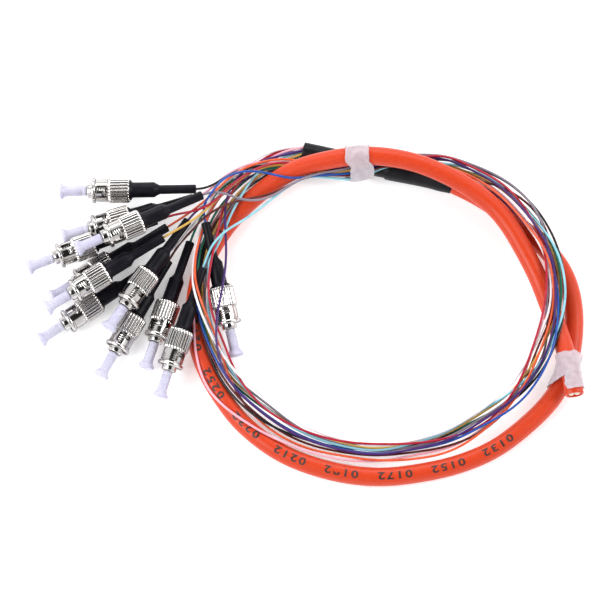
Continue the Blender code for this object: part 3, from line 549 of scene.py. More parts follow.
# Coupling nut: turned from brass and nickel plated, with a smooth skirt, two angled
# bayonet slots that lock on a socket's pins, and a deeply fluted grip at the rear.
NUT_RIM_R = 4.8
NUT_SMOOTH_R = 4.2
NUT_KNURL_R = 4.75
NUT_BORE_R = 3.75
NUT_LIP_R = 3.3
KNURL_RIDGES = 22
KNURL_PITCH_R = 4.05
SLOT_FRONT = 2.0
SLOT_ARM = 3.9
SLOT_REAR = 5.7
SLOT_LOW = -2.1
SLOT_TURN = -0.2
SLOT_HIGH = 2.4
nut_blank = turned("nut_blank", [
    (NUT_START, NUT_BORE_R + 0.2), (NUT_START, NUT_RIM_R - 0.55),
    (NUT_START + 0.12, NUT_RIM_R - 0.25), (NUT_START + 0.4, NUT_RIM_R - 0.04),
    (NUT_START + 0.75, NUT_RIM_R), (NUT_START + 1.1, NUT_RIM_R - 0.04),
    (NUT_START + 1.38, NUT_RIM_R - 0.25), (NUT_START + 1.5, NUT_SMOOTH_R - 0.05),
    (NUT_START + 1.55, NUT_SMOOTH_R - 0.3), (NUT_START + 1.9, NUT_SMOOTH_R - 0.3),
    (NUT_START + 2.0, NUT_SMOOTH_R), (NUT_START + 5.95, NUT_SMOOTH_R),
    (NUT_START + 6.05, NUT_SMOOTH_R - 0.25), (NUT_START + 6.3, NUT_SMOOTH_R - 0.25),
    (NUT_END - 0.3, NUT_SMOOTH_R - 0.15), (NUT_END, NUT_SMOOTH_R - 0.3),
    (NUT_END, NUT_LIP_R + 0.15), (NUT_END - 0.15, NUT_LIP_R),
    (NUT_END - 1.5, NUT_LIP_R), (NUT_END - 1.5, NUT_BORE_R),
    (NUT_START + 0.2, NUT_BORE_R)], 80, loop=True)


def slot_cutter():
    """The L-shaped prism that cuts both bayonet slots."""
    turn = [(NUT_START + SLOT_FRONT, SLOT_LOW), (NUT_START + SLOT_REAR, SLOT_LOW),
            (NUT_START + SLOT_REAR, SLOT_HIGH), (NUT_START + SLOT_ARM, SLOT_HIGH),
            (NUT_START + SLOT_ARM, SLOT_TURN), (NUT_START + SLOT_FRONT, SLOT_TURN)]
    bm = bmesh.new()
    for half in (-6.0, 6.0):
        for x, y in turn:
            bm.verts.new((x * MM, y * MM, half * MM))
    bm.verts.ensure_lookup_table()
    count = len(turn)
    for k in range(count):
        far = (k + 1) % count
        bm.faces.new([bm.verts[i] for i in (k, far, far + count, k + count)])
    bm.faces.new([bm.verts[i] for i in range(count)])
    bm.faces.new([bm.verts[i] for i in range(count, 2 * count)])
    bmesh.ops.recalc_face_normals(bm, faces=bm.faces)
    upright = [e for e in bm.edges if abs(e.verts[0].co.z - e.verts[1].co.z) > 5 * MM]
    bmesh.ops.bevel(bm, geom=upright, offset=0.35 * MM, segments=3, affect="EDGES",
                    profile=0.5)
    mesh = bpy.data.meshes.new("slot_cutter")
    bm.to_mesh(mesh)
    bm.free()
    return mesh


def make_knurl():
    """Geometry Nodes: a ring of rounded ridges joined to the blank it is cut from."""
    tree = bpy.data.node_groups.new("knurl_ring", "GeometryNodeTree")
    face = tree.interface
    face.new_socket("Blank", in_out="INPUT", socket_type="NodeSocketGeometry")
    for socket, kind, start in (("Ridges", "NodeSocketInt", 22),
                                ("Pitch Radius", "NodeSocketFloat", 0.0043),
                                ("Ridge Radius", "NodeSocketFloat", 0.00045),
                                ("Start", "NodeSocketFloat", 0.0185),
                                ("Length", "NodeSocketFloat", 0.008)):
        face.new_socket(socket, in_out="INPUT", socket_type=kind).default_value = start
    face.new_socket("Finish", in_out="INPUT", socket_type="NodeSocketMaterial")
    face.new_socket("Nut", in_out="OUTPUT", socket_type="NodeSocketGeometry")
    nodes = tree.nodes
    links = tree.links
    entry = nodes.new("NodeGroupInput")
    leave = nodes.new("NodeGroupOutput")
    ends = nodes.new("ShaderNodeCombineXYZ")
    links.new(entry.outputs["Length"], ends.inputs["Z"])
    line = nodes.new("GeometryNodeCurvePrimitiveLine")
    links.new(ends.outputs["Vector"], line.inputs["End"])
    cuts = nodes.new("GeometryNodeResampleCurve")
    cuts.inputs["Count"].default_value = 17
    links.new(line.outputs["Curve"], cuts.inputs["Curve"])
    share = nodes.new("GeometryNodeSplineParameter")
    swell = nodes.new("ShaderNodeFloatCurve")
    curve = swell.mapping.curves[0]
    curve.points[0].location = (0.0, 0.6)
    curve.points[1].location = (1.0, 0.6)
    curve.points.new(0.07, 1.0)
    curve.points.new(0.93, 1.0)
    for point in curve.points:
        point.handle_type = "VECTOR"
    swell.mapping.update()
    links.new(share.outputs["Factor"], swell.inputs["Value"])
    width = nodes.new("ShaderNodeMath")
    width.operation = "MULTIPLY"
    links.new(swell.outputs["Value"], width.inputs[0])
    links.new(entry.outputs["Ridge Radius"], width.inputs[1])
    section = nodes.new("GeometryNodeCurvePrimitiveCircle")
    section.inputs["Resolution"].default_value = 24
    section.inputs["Radius"].default_value = 1.0
    bar = nodes.new("GeometryNodeCurveToMesh")
    bar.inputs["Fill Caps"].default_value = True
    links.new(cuts.outputs["Curve"], bar.inputs["Curve"])
    links.new(section.outputs["Curve"], bar.inputs["Profile Curve"])
    links.new(width.outputs["Value"], bar.inputs["Scale"])
    ring = nodes.new("GeometryNodeMeshCircle")
    links.new(entry.outputs["Ridges"], ring.inputs["Vertices"])
    links.new(entry.outputs["Pitch Radius"], ring.inputs["Radius"])
    spread = nodes.new("GeometryNodeInstanceOnPoints")
    links.new(ring.outputs["Mesh"], spread.inputs["Points"])
    links.new(bar.outputs["Mesh"], spread.inputs["Instance"])
    shift = nodes.new("ShaderNodeCombineXYZ")
    links.new(entry.outputs["Start"], shift.inputs["X"])
    turn = nodes.new("GeometryNodeTransform")
    turn.inputs["Rotation"].default_value = (0.0, math.pi / 2, 0.0)
    links.new(shift.outputs["Vector"], turn.inputs["Translation"])
    links.new(spread.outputs["Instances"], turn.inputs["Geometry"])
    join = nodes.new("GeometryNodeJoinGeometry")
    links.new(entry.outputs["Blank"], join.inputs["Geometry"])
    links.new(turn.outputs["Geometry"], join.inputs["Geometry"])
    real = nodes.new("GeometryNodeRealizeInstances")
    links.new(join.outputs["Geometry"], real.inputs["Geometry"])
    paint = nodes.new("GeometryNodeSetMaterial")
    links.new(real.outputs["Geometry"], paint.inputs["Geometry"])
    links.new(entry.outputs["Finish"], paint.inputs["Material"])
    links.new(paint.outputs["Geometry"], leave.inputs["Nut"])
    return tree


def finished_nut():
    """The blank with its slots cut and its ridges joined on."""
    blank = bpy.data.objects.new("nut_blank", nut_blank)
    cutter = bpy.data.objects.new("slot_cutter", slot_cutter())
    for obj in (blank, cutter):
        bpy.context.scene.collection.objects.link(obj)
    slots = blank.modifiers.new("slots", "BOOLEAN")
    slots.operation = "DIFFERENCE"
    slots.solver = "EXACT"
    slots.object = cutter
    knurl = blank.modifiers.new("knurl", "NODES")
    knurl.node_group = make_knurl()
    sizes = {"Ridges": KNURL_RIDGES, "Pitch Radius": KNURL_PITCH_R * MM,
             "Ridge Radius": (NUT_KNURL_R - KNURL_PITCH_R) * MM,
             "Start": (NUT_START + 6.3) * MM, "Length": (NUT_END - NUT_START - 6.4) * MM,
             "Finish": nickel}
    for socket in knurl.node_group.interface.items_tree:
        if socket.in_out == "INPUT" and socket.name in sizes:
            knurl[socket.identifier] = sizes[socket.name]
    bpy.context.view_layer.update()
    made = bpy.data.meshes.new_from_object(
        blank.evaluated_get(bpy.context.evaluated_depsgraph_get()))
    for obj in (blank, cutter):
        bpy.data.objects.remove(obj, do_unlink=True)
    made.shade_smooth()
    made.set_sharp_from_angle(angle=math.radians(35))
    made.materials.clear()
    # Painted shade: the bore, the neck behind the rim, the grooves between the ridges and the
    # ridges' end faces take the dark shaded nickel.
    for face in made.polygons:
        out = math.hypot(face.center.y, face.center.z) / MM
        along = face.center.x / MM - NUT_START
        groove = along > 6 and out < NUT_KNURL_R - 0.1
        groove = groove or (along > 6 and abs(face.normal.x) > 0.35)
        neck = 1.52 < along < 1.95 and out < NUT_SMOOTH_R - 0.2
        face.material_index = 1 if out < NUT_BORE_R + 0.1 or groove or neck else 0
    return made


nut_mesh = finished_nut()

# Spring in the nut: stainless wire coiled round the barrel. It holds the nut back and
# shows through the bayonet slots.
SPRING_R = 3.25
SPRING_WIRE_R = 0.28
SPRING_TURNS = 5
SPRING_SIDES = 8
spring_rings = []
spring_marks = []
for k in range(SPRING_TURNS * 24 + 1):
    a = k * 2 * math.pi / 24
    x = 13.2 + 4.2 * k / (SPRING_TURNS * 24)
    out = np.array([0.0, math.cos(a), math.sin(a)])
    ring = [np.array([x, 0, 0]) + out * SPRING_R
            + SPRING_WIRE_R * (math.cos(b) * out + math.sin(b) * np.array([1.0, 0, 0]))
            for b in np.arange(SPRING_SIDES) * 2 * math.pi / SPRING_SIDES]
    spring_rings.append(ring)
    spring_marks.append(k * SPRING_R * 2 * math.pi / 24)
spring_mesh = loft("spring", spring_rings, spring_marks)
spring_steel = worked_finish("spring_steel", (0.42, 0.41, 0.40), (0.55, 0.54, 0.52),
                             (0.2, 0.3), metallic=1.0, bump=0.000004)

# Boot: soft black rubber moulded over the crimp. Its thick grip steps down to a thin
# sleeve, here drawn straight.
BOOT_R = 2.9
BOOT_FLARE_R = 3.9
BOOT_THIN_R = 1.7
BOOT_STEP = 36.0
BOOT_THIN_START = 37.6
FIBRE_HOLE_R = 0.75
FIBRE_HOLE_DEPTH = 5.0
boot_mesh = turned("boot", [
    (24.9, 1.0), (24.9, 2.6), (25.1, BOOT_R - 0.05), (NUT_END + 0.02, BOOT_R),
    (NUT_END + 0.04, BOOT_FLARE_R - 0.2), (NUT_END + 0.15, BOOT_FLARE_R),
    (NUT_END + 0.4, BOOT_FLARE_R - 0.1), (NUT_END + 1.0, BOOT_R + 0.1),
    (NUT_END + 1.4, BOOT_R), (31.0, BOOT_R - 0.04),
    (BOOT_STEP - 0.5, BOOT_R - 0.02), (BOOT_STEP - 0.1, BOOT_R - 0.12),
    (BOOT_STEP + 0.15, BOOT_R - 0.35), (BOOT_THIN_START - 0.3, BOOT_THIN_R + 0.2),
    (BOOT_THIN_START + 0.1, BOOT_THIN_R + 0.02), (BOOT_THIN_START + 0.6, BOOT_THIN_R),
    (44.0, BOOT_THIN_R - 0.03), (50.9, BOOT_THIN_R), (CONN_LENGTH - 0.15, BOOT_THIN_R - 0.03),
    (CONN_LENGTH, BOOT_THIN_R - 0.18), (CONN_LENGTH, FIBRE_HOLE_R + 0.06),
    (CONN_LENGTH - 0.12, FIBRE_HOLE_R), (CONN_LENGTH - FIBRE_HOLE_DEPTH, FIBRE_HOLE_R)], 48)
boot_rubber = worked_finish("boot_rubber", (0.003, 0.003, 0.005), (0.009, 0.008, 0.013),
                            (0.34, 0.48), patch=150.0, grain=2200.0, bump=0.00003,
                            Specular_IOR_Level=0.14)

# Dust cap: soft milky polyethylene, blown thin, with a thick lip at its closed tip. It
# pushes over the ferrule and pulls straight off.
CAP_FLANGE_R = 3.1
CAP_FLANGE_T = 1.7
CAP_R = 1.9
CAP_BORE_R = 1.45
CAP_LENGTH = 10.2
CAP_SEAT = 0.3
CAP_TRAVEL = 9.0
cap_mesh = turned("cap", [
    (0.35, 0.5), (0.3, 0.9), (0.05, 1.3), (0.0, CAP_FLANGE_R - 0.75),
    (0.15, CAP_FLANGE_R - 0.3), (0.5, CAP_FLANGE_R - 0.05), (0.8, CAP_FLANGE_R),
    (CAP_FLANGE_T - 0.5, CAP_FLANGE_R - 0.1), (CAP_FLANGE_T - 0.15, CAP_FLANGE_R - 0.35),
    (CAP_FLANGE_T + 0.25, CAP_R + 0.5), (CAP_FLANGE_T + 0.9, CAP_R + 0.15),
    (CAP_FLANGE_T + 1.6, CAP_R), (6.0, CAP_R - 0.02), (8.6, CAP_R - 0.02), (8.7, CAP_R - 0.1),
    (8.9, CAP_R - 0.1), (9.0, CAP_R - 0.02), (CAP_LENGTH - 0.2, CAP_R), (CAP_LENGTH, CAP_R - 0.12),
    (CAP_LENGTH, CAP_BORE_R + 0.08), (CAP_LENGTH - 0.1, CAP_BORE_R), (2.6, CAP_BORE_R),
    (2.2, CAP_BORE_R - 0.35)], 48)
cap_milky = worked_finish("cap_milky", (0.64, 0.62, 0.80), (0.74, 0.73, 0.86), (0.2, 0.32),
                          patch=110.0, grain=700.0, bump=0.00001,
                          Transmission_Weight=0.25, IOR=1.42)

# How far each nut has turned on its barrel, in degrees, as the slots show.
NUT_ROLL = [20, -25, 30, -10, 15, 0, -30, 25, 10, -20, 35, -15]
for number, (row, roll) in enumerate(zip(CONNECTORS, NUT_ROLL), 1):
    mark = "%02d" % number
    show("ferrule_" + mark, laid(ferrule_mesh, number), ceramic, "pigtail")
    show("barrel_" + mark, laid(barrel_mesh, number), (nickel, shaded_nickel), "pigtail")
    show("spring_" + mark, laid(spring_mesh, number), spring_steel, "nut_" + mark)
    show("boot_" + mark, laid(boot_mesh, number), boot_rubber, "pigtail",
         ["connector_body_" + mark])
    show("coupling_nut_" + mark, laid(nut_mesh, number, math.radians(roll)),
         (nickel, shaded_nickel), "nut_" + mark, ["nut_" + mark])
    show("cap_" + mark, laid(cap_mesh, number), cap_milky, "dust_cap_" + mark,
         ["dust_cap_" + mark])

# Fibres: twelve tight-buffered fibres, 0.9 mm across, each in its own colour. They leave
# the sleeve's mouth, go once round inside the coil, dive under the trunk at the tape and
# fan out to the boots, lying on each other and on whatever is below them.
FIBRE_R = 0.45
GAP = 0.16
MIDDLE_RANK = 5.5
BOOT_LEAD_OUT = 5.0
PAIR_ROUNDS = 15
PAIR_REACH = 2.5
CROSSED_SHARE = 0.4
STRAND_PUSH = 1.4
SOLID_PUSH = 1.2
SINKING_SHARE = 0.7
FIBRE_SLOPE = 0.45
FIBRE_SPACING = 1.06
SETTLE_ROUNDS = 700
SMOOTH_ROUNDS = 120
FIBRE_STEP = 2.5
DRAWN_STEP = 1.25
LEAD_LIFT = 2.5
LAY_LIFT = 0.6
MOUTH_DEPTH = 0.3
MOUTH_RING_R = 2.1
MOUTH_CORE_R = 0.8
TAPE_LEFT_U = 300.0
FIBRE_IN_BOOT = 4.0
CAP_PROFILE = [(0, CAP_FLANGE_R), (CAP_FLANGE_T, CAP_FLANGE_R), (CAP_FLANGE_T, CAP_R),
               (NOSE_START, CAP_R), (NOSE_START, NOSE_R), (NUT_START, NOSE_R),
               (NUT_START, NUT_RIM_R), (NUT_END, NUT_RIM_R), (NUT_END, BOOT_R),
               (BOOT_STEP, BOOT_R), (BOOT_THIN_START, BOOT_THIN_R),
               (CONN_LENGTH, BOOT_THIN_R)]
OVER_TRUNK = ("blue", "aqua", "slate", "brown")
UNDER_TRUNK_U = (284.0, 345.0)
# Centre of the bundle round the coil and its half width, in the view.
LOOP = [
    (302, 153, 6), (283, 158, 8), (257, 172, 9), (238, 190, 11),
    (221, 213, 10), (208, 238, 8), (201.5, 262, 7), (200, 287, 7),
    (203.5, 315, 7.5), (215, 348, 8.5), (231, 380, 10), (262, 412, 11),
    (300, 436, 9.5), (345, 449.5, 8), (380, 453, 7.5), (408, 449.5, 7.5),
    (450, 440, 9.5), (480, 424, 9.5), (514, 397, 10.5), (544, 350, 12.5),
    (557, 300, 11.5), (550, 250, 11), (530, 217, 11), (501, 189.5, 10),
    (470, 175, 8.5), (440, 166.5, 7.5),
]
# Order of the fibres across the bundle, inner side first, at some of its stations.
ORDER = {
    0: "green brown yellow black slate violet blue aqua orange rose red white",
    4: "black slate aqua yellow brown violet rose red green orange white blue",
    9: "violet red orange white aqua slate yellow green blue brown black rose",
    11: "white slate yellow green aqua red blue violet brown black orange rose",
    14: "green red black white yellow slate aqua blue brown violet rose orange",
    17: "aqua white yellow black green slate violet blue red rose brown orange",
    19: "red white rose brown orange yellow slate violet aqua green black blue",
    20: "red slate rose white orange violet brown blue yellow green aqua black",
    22: "orange blue white rose violet red yellow aqua green slate brown black",
    25: "orange brown white blue green yellow aqua rose violet red slate black",
}
# Fibres that leave the bundle for a stretch: station and point in the view.
APART = {
    "violet": {2: (257, 166), 3: (231, 187), 4: (223, 213), 5: (224.5, 238),
               6: (225.5, 262), 7: (222, 287), 8: (216.5, 315),
               9: (216, 348), 10: (226, 379)},
    "rose": {8: (189, 318), 9: (189, 350), 10: (205, 387), 11: (240, 418),
             12: (286, 441)},
    "orange": {12: (300, 448), 13: (345, 460), 14: (380, 464.5),
               15: (410, 463), 16: (450, 455)},
}
DIVE = [(420, 162.5, 7), (399, 160, 7.5), (379, 159.5, 8), (360, 168.5, 8.5)]
DIVE_ORDER = "black aqua rose brown blue slate red yellow green violet white orange"
LEAD = {
    "blue": [(325, 174), (306, 174.4), (288, 173), (268, 169.5), (248, 168.6),
             (233, 171), (220, 178.5), (211, 186), (205, 197)],
    "aqua": [(325, 177.5), (306, 177.5), (291, 184), (275, 198), (258, 212),
             (240, 224), (225, 236)],
    "slate": [(325, 175.5), (306, 180), (290, 188), (275, 199), (258, 204.5),
              (240, 202)],
    "brown": [(325, 176), (306, 179), (290, 186), (275, 194), (258, 199),
              (240, 202), (221, 209), (202, 225)],
    "black": [(325, 178), (306, 176), (285, 170), (262, 168), (240, 173),
              (222, 180)],
    "rose": [(325, 176), (306, 174), (287, 169), (266, 168), (249, 171),
             (235, 175), (220, 182)],
    "red": [(325, 171), (306, 169), (290, 165), (268, 165.5), (245, 173),
            (228, 183), (212, 195), (193, 204)],
    "orange": [(325, 169), (306, 167), (290, 163), (262, 163.5), (240, 170),
               (226, 178), (214, 190), (199, 204)],
    "yellow": [(325, 171), (306, 170), (290, 167), (265, 170), (243, 180),
               (228, 192), (212, 206), (196, 219)],
    "white": [(325, 169), (306, 167.5), (290, 164.5), (264, 166), (243, 175),
              (228, 182), (216, 190), (208, 200), (199, 212), (186, 229)],
    "violet": [(325, 170), (306, 169), (290, 166), (266, 168.5), (246, 179),
               (230, 190), (214, 200)],
    "green": [(325, 172), (306, 171), (290, 168), (267, 171), (247, 178),
              (232, 186), (219, 196), (207, 211)],
}
# Each colour in linear light, darker and lighter, and its slot in the record.
COLOURS = {
    "blue": ((0.012, 0.07, 0.34), "jacket_blue"),
    "orange": ((0.72, 0.10, 0.03), "jacket_orange.001"),
    "green": ((0.006, 0.17, 0.105), "jacket_green"),
    "brown": ((0.10, 0.017, 0.014), "jacket_brown"),
    "slate": ((0.23, 0.20, 0.25), "jacket_slate"),
    "white": ((0.80, 0.77, 0.80), "jacket_white"),
    "red": ((0.42, 0.008, 0.03), "jacket_red"),
    "black": ((0.010, 0.009, 0.012), "jacket_black"),
    "yellow": ((0.60, 0.36, 0.08), "jacket_yellow"),
    "violet": ((0.05, 0.015, 0.13), "jacket_violet"),
    "rose": ((0.86, 0.42, 0.50), "jacket_rose"),
    "aqua": ((0.26, 0.58, 0.68), "jacket_aqua"),
}
LAY_ORDER = ["rose", "black", "brown", "green", "yellow", "slate", "blue",
             "aqua", "white", "orange", "red", "violet"]
MOUTH_RING = ["black", "brown", "green", "yellow", "violet", "rose", "white", "red", "orange"]
MOUTH_CORE = ["slate", "blue", "aqua"]


def samples(path, step=0.7):
    """Close points along a polyline."""
    out = []
    for a, b in zip(path[:-1], path[1:]):
        n = max(1, int(math.ceil(np.linalg.norm(b - a) / step)))
        for t in np.arange(n) / n:
            out.append(a + (b - a) * t)
    out.append(path[-1])
    return np.array(out)


def needed(points, obstacles, radius):
    """Lowest height at which each point clears what already lies there."""
    need = np.full(len(points), radius + 0.02)
    for other, other_r in obstacles:
        reach = radius + other_r + GAP
        d2 = ((points[:, None, :2] - other[None, :, :2]) ** 2).sum(axis=2)
        inside = np.maximum(reach[None, :] ** 2 - d2, 0.0)
        top = np.where(inside > 0, other[None, :, 2] + np.sqrt(inside), 0.0)
        need = np.maximum(need, top.max(axis=1))
    return need


def drape(view_points, obstacles, radius, fixed_first=None, fixed_last=None):
    """Heights for a strand laid over the obstacles, then its points."""
    heights = np.full(len(view_points), 1.0)
    for _ in range(4):
        path = np.array([seen(u, v, z) for (u, v), z in zip(view_points, heights)])
        need = np.full(len(path), radius + 0.02)
        for i in range(len(path) - 1):
            part = samples(path[i:i + 2], 0.6)
            worst = needed(part, obstacles, radius).max()
            need[i] = max(need[i], worst)
            need[i + 1] = max(need[i + 1], worst)
        run = distances(path[:, :2])
        if fixed_first is not None:
            need[0] = fixed_first
        if fixed_last is not None:
            need[-1] = max(need[-1], fixed_last)
        lift = need[None, :] - FIBRE_SLOPE * np.abs(run[:, None] - run[None, :])
        heights = lift.max(axis=1)
        for _ in range(2):
            mean = heights.copy()
            mean[1:-1] = (heights[:-2] + 2 * heights[1:-1] + heights[2:]) / 4
            heights = np.maximum(mean, need)
        if fixed_first is not None:
            heights[0] = fixed_first
    return np.array([seen(u, v, z) for (u, v), z in zip(view_points, heights)])


def lane_points():
    """View points of every fibre at every station of the loop."""
    centre = np.array([(u, v) for u, v, _ in LOOP], dtype=float)
    tangent = np.gradient(centre, axis=0)
    tangent /= np.linalg.norm(tangent, axis=1)[:, None]
    inward = np.column_stack([-tangent[:, 1], tangent[:, 0]])
    keys = sorted(ORDER)
    lanes = {}
    for colour in COLOURS:
        ranks = [ORDER[k].split().index(colour) for k in keys]
        rank = np.interp(range(len(LOOP)), keys, ranks)
        points = []
        for i, (u, v, half) in enumerate(LOOP):
            side = (MIDDLE_RANK - rank[i]) / MIDDLE_RANK * half
            points.append(tuple(centre[i] - inward[i] * side))
        for station, point in APART.get(colour, {}).items():
            points[station] = point
        lanes[colour] = points
    return lanes


def with_radius(path, radius):
    """A path with one radius for each of its points."""
    return path, np.full(len(path), float(radius))


def connector_obstacle(start, along):
    """Points and radii of a connector and of its cap's way off."""
    s = np.arange(-CAP_TRAVEL - CAP_SEAT, CONN_LENGTH, 0.6)
    r = np.interp(s, [p[0] + 1e-6 * i for i, p in enumerate(CAP_PROFILE)],
                  [p[1] for p in CAP_PROFILE])
    return start[None, :] + s[:, None] * along[None, :], r


def mouth_point(colour):
    """Place of a fibre in the sleeve's mouth: nine on a ring, three inside."""
    along = sleeve_route[1] - sleeve_route[0]
    along /= np.linalg.norm(along)
    side, up = across(along)
    if colour in MOUTH_RING:
        angle = math.radians(-70 + 40 * MOUTH_RING.index(colour))
        reach = MOUTH_RING_R
    else:
        angle = math.radians(120 * MOUTH_CORE.index(colour))
        reach = MOUTH_CORE_R
    middle = sleeve_route[0] + along * MOUTH_DEPTH
    return middle + reach * (math.cos(angle) * side + math.sin(angle) * up)


def closest(p0, p1, q0, q1):
    """Closest points of segment pairs: their shares s and t along each."""
    u = p1 - p0
    v = q1 - q0
    w = p0 - q0
    a = (u * u).sum(1) + 1e-12
    b = (u * v).sum(1)
    c = (v * v).sum(1) + 1e-12
    d = (u * w).sum(1)
    e = (v * w).sum(1)
    s = np.clip((b * e - c * d) / np.maximum(a * c - b * b, 1e-9), 0, 1)
    t = np.clip((b * s + e) / c, 0, 1)
    s = np.clip((b * t - d) / a, 0, 1)
    return s, t


def settle(paths, held, solids, rounds, sink):
    """Push the fibres apart, off the solids and down until nothing overlaps."""
    points = np.vstack(paths)
    target = points.copy()
    owner = np.concatenate([np.full(len(p), k) for k, p in enumerate(paths)])
    place = np.concatenate([np.arange(len(p)) for p in paths])
    free = ~np.concatenate(held)
    first = np.where(owner[:-1] == owner[1:])[0]
    balls = np.vstack([s[0] for s in solids])
    ball_r = np.concatenate([s[1] for s in solids])
    inner = np.where((owner[:-2] == owner[2:]) & free[1:-1])[0] + 1
    for turn in range(rounds):
        if turn % PAIR_ROUNDS == 0:
            middle = (points[first] + points[first + 1]) / 2
            reach = np.linalg.norm(points[first] - points[first + 1], axis=1) / 2
            gap = np.linalg.norm(middle[:, None] - middle[None], axis=2)
            near = gap < reach[:, None] + reach[None] + PAIR_REACH
            i, j = np.where(np.triu(near, 1))
            apart = (owner[first[i]] != owner[first[j]]) | (
                np.abs(place[first[i]] - place[first[j]]) > 3)
            i, j = first[i[apart]], first[j[apart]]
            gap = np.linalg.norm(middle[:, None] - balls[None], axis=2)
            m, n = np.where(gap < reach[:, None] + ball_r[None] + PAIR_REACH)
            m = first[m]
        push = np.zeros_like(points)
        count = np.zeros(len(points))
        s, t = closest(points[i], points[i + 1], points[j], points[j + 1])
        away = (points[i] + s[:, None] * (points[i + 1] - points[i])
                - points[j] - t[:, None] * (points[j + 1] - points[j]))
        dist = np.linalg.norm(away, axis=1)
        hit = dist < FIBRE_SPACING
        crossed = dist < CROSSED_SHARE * FIBRE_SPACING
        away[crossed, :2] = 0.0
        away[crossed, 2] = np.where(away[crossed, 2] >= 0, 1.0, -1.0) * dist[crossed]
        away = away[hit] / np.maximum(dist[hit], 1e-6)[:, None]
        deep = (FIBRE_SPACING - dist[hit])[:, None] * 0.5 * away
        for index, share in ((i[hit], 1 - s[hit]), (i[hit] + 1, s[hit])):
            np.add.at(push, index, deep * share[:, None] * STRAND_PUSH)
            np.add.at(count, index, share)
        for index, share in ((j[hit], 1 - t[hit]), (j[hit] + 1, t[hit])):
            np.add.at(push, index, -deep * share[:, None] * STRAND_PUSH)
            np.add.at(count, index, share)
        along = points[m + 1] - points[m]
        t = np.clip(((balls[n] - points[m]) * along).sum(1)
                    / ((along * along).sum(1) + 1e-12), 0, 1)
        away = points[m] + t[:, None] * along - balls[n]
        dist = np.linalg.norm(away, axis=1)
        room = ball_r[n] + FIBRE_R + GAP
        hit = dist < room
        away = away[hit] / np.maximum(dist[hit], 1e-6)[:, None]
        deep = (room - dist)[hit][:, None] * away
        for index, share in ((m[hit], 1 - t[hit]), (m[hit] + 1, t[hit])):
            np.add.at(push, index, deep * share[:, None] * SOLID_PUSH)
            np.add.at(count, index, share)
        push /= np.maximum(count, 1.0)[:, None]
        points[free] += push[free]
        if turn < rounds * SINKING_SHARE:
            points[free, 2] -= sink
            drift = points - target
            mean = (drift[inner - 1] + drift[inner + 1]) / 2
            points[inner] += 0.25 * (mean - drift[inner])
            level = (points[inner - 1, 2] + points[inner + 1, 2]) / 2
            points[inner, 2] += 0.25 * (level - points[inner, 2])
            points[free, :2] -= 0.02 * (points - target)[free, :2]
        points[free, 2] = np.maximum(points[free, 2], FIBRE_R + 0.03)
    out = []
    start = 0
    for path in paths:
        out.append(points[start:start + len(path)])
        start += len(path)
    return out


def underside(u):
    """Height that a fibre has under the trunk where the trunk comes down."""
    crossing = np.array(TRUNK[TRUNK_LOW_END:TRUNK_LOW_END + 5])
    return np.interp(u, crossing[:, 0], crossing[:, 2]) - TRUNK_R - FIBRE_R - GAP


def flowing(path, step):
    """A smooth curve through unevenly spaced points, read every step mm."""
    run = distances(path)
    slope = np.gradient(path, run, axis=0)
    out = []
    for i in range(len(path) - 1):
        h = run[i + 1] - run[i]
        for t in np.linspace(0, 1, max(2, int(h / 0.4)), endpoint=False):
            out.append((1 + 2 * t) * (1 - t) ** 2 * path[i] + t * (1 - t) ** 2 * h * slope[i]
                       + t * t * (3 - 2 * t) * path[i + 1] + t * t * (t - 1) * h * slope[i + 1])
    out.append(path[-1])
    out = np.array(out)
    length = np.linalg.norm(np.diff(out, axis=0), axis=1).sum()
    return even(out, int(length / step) + 1)


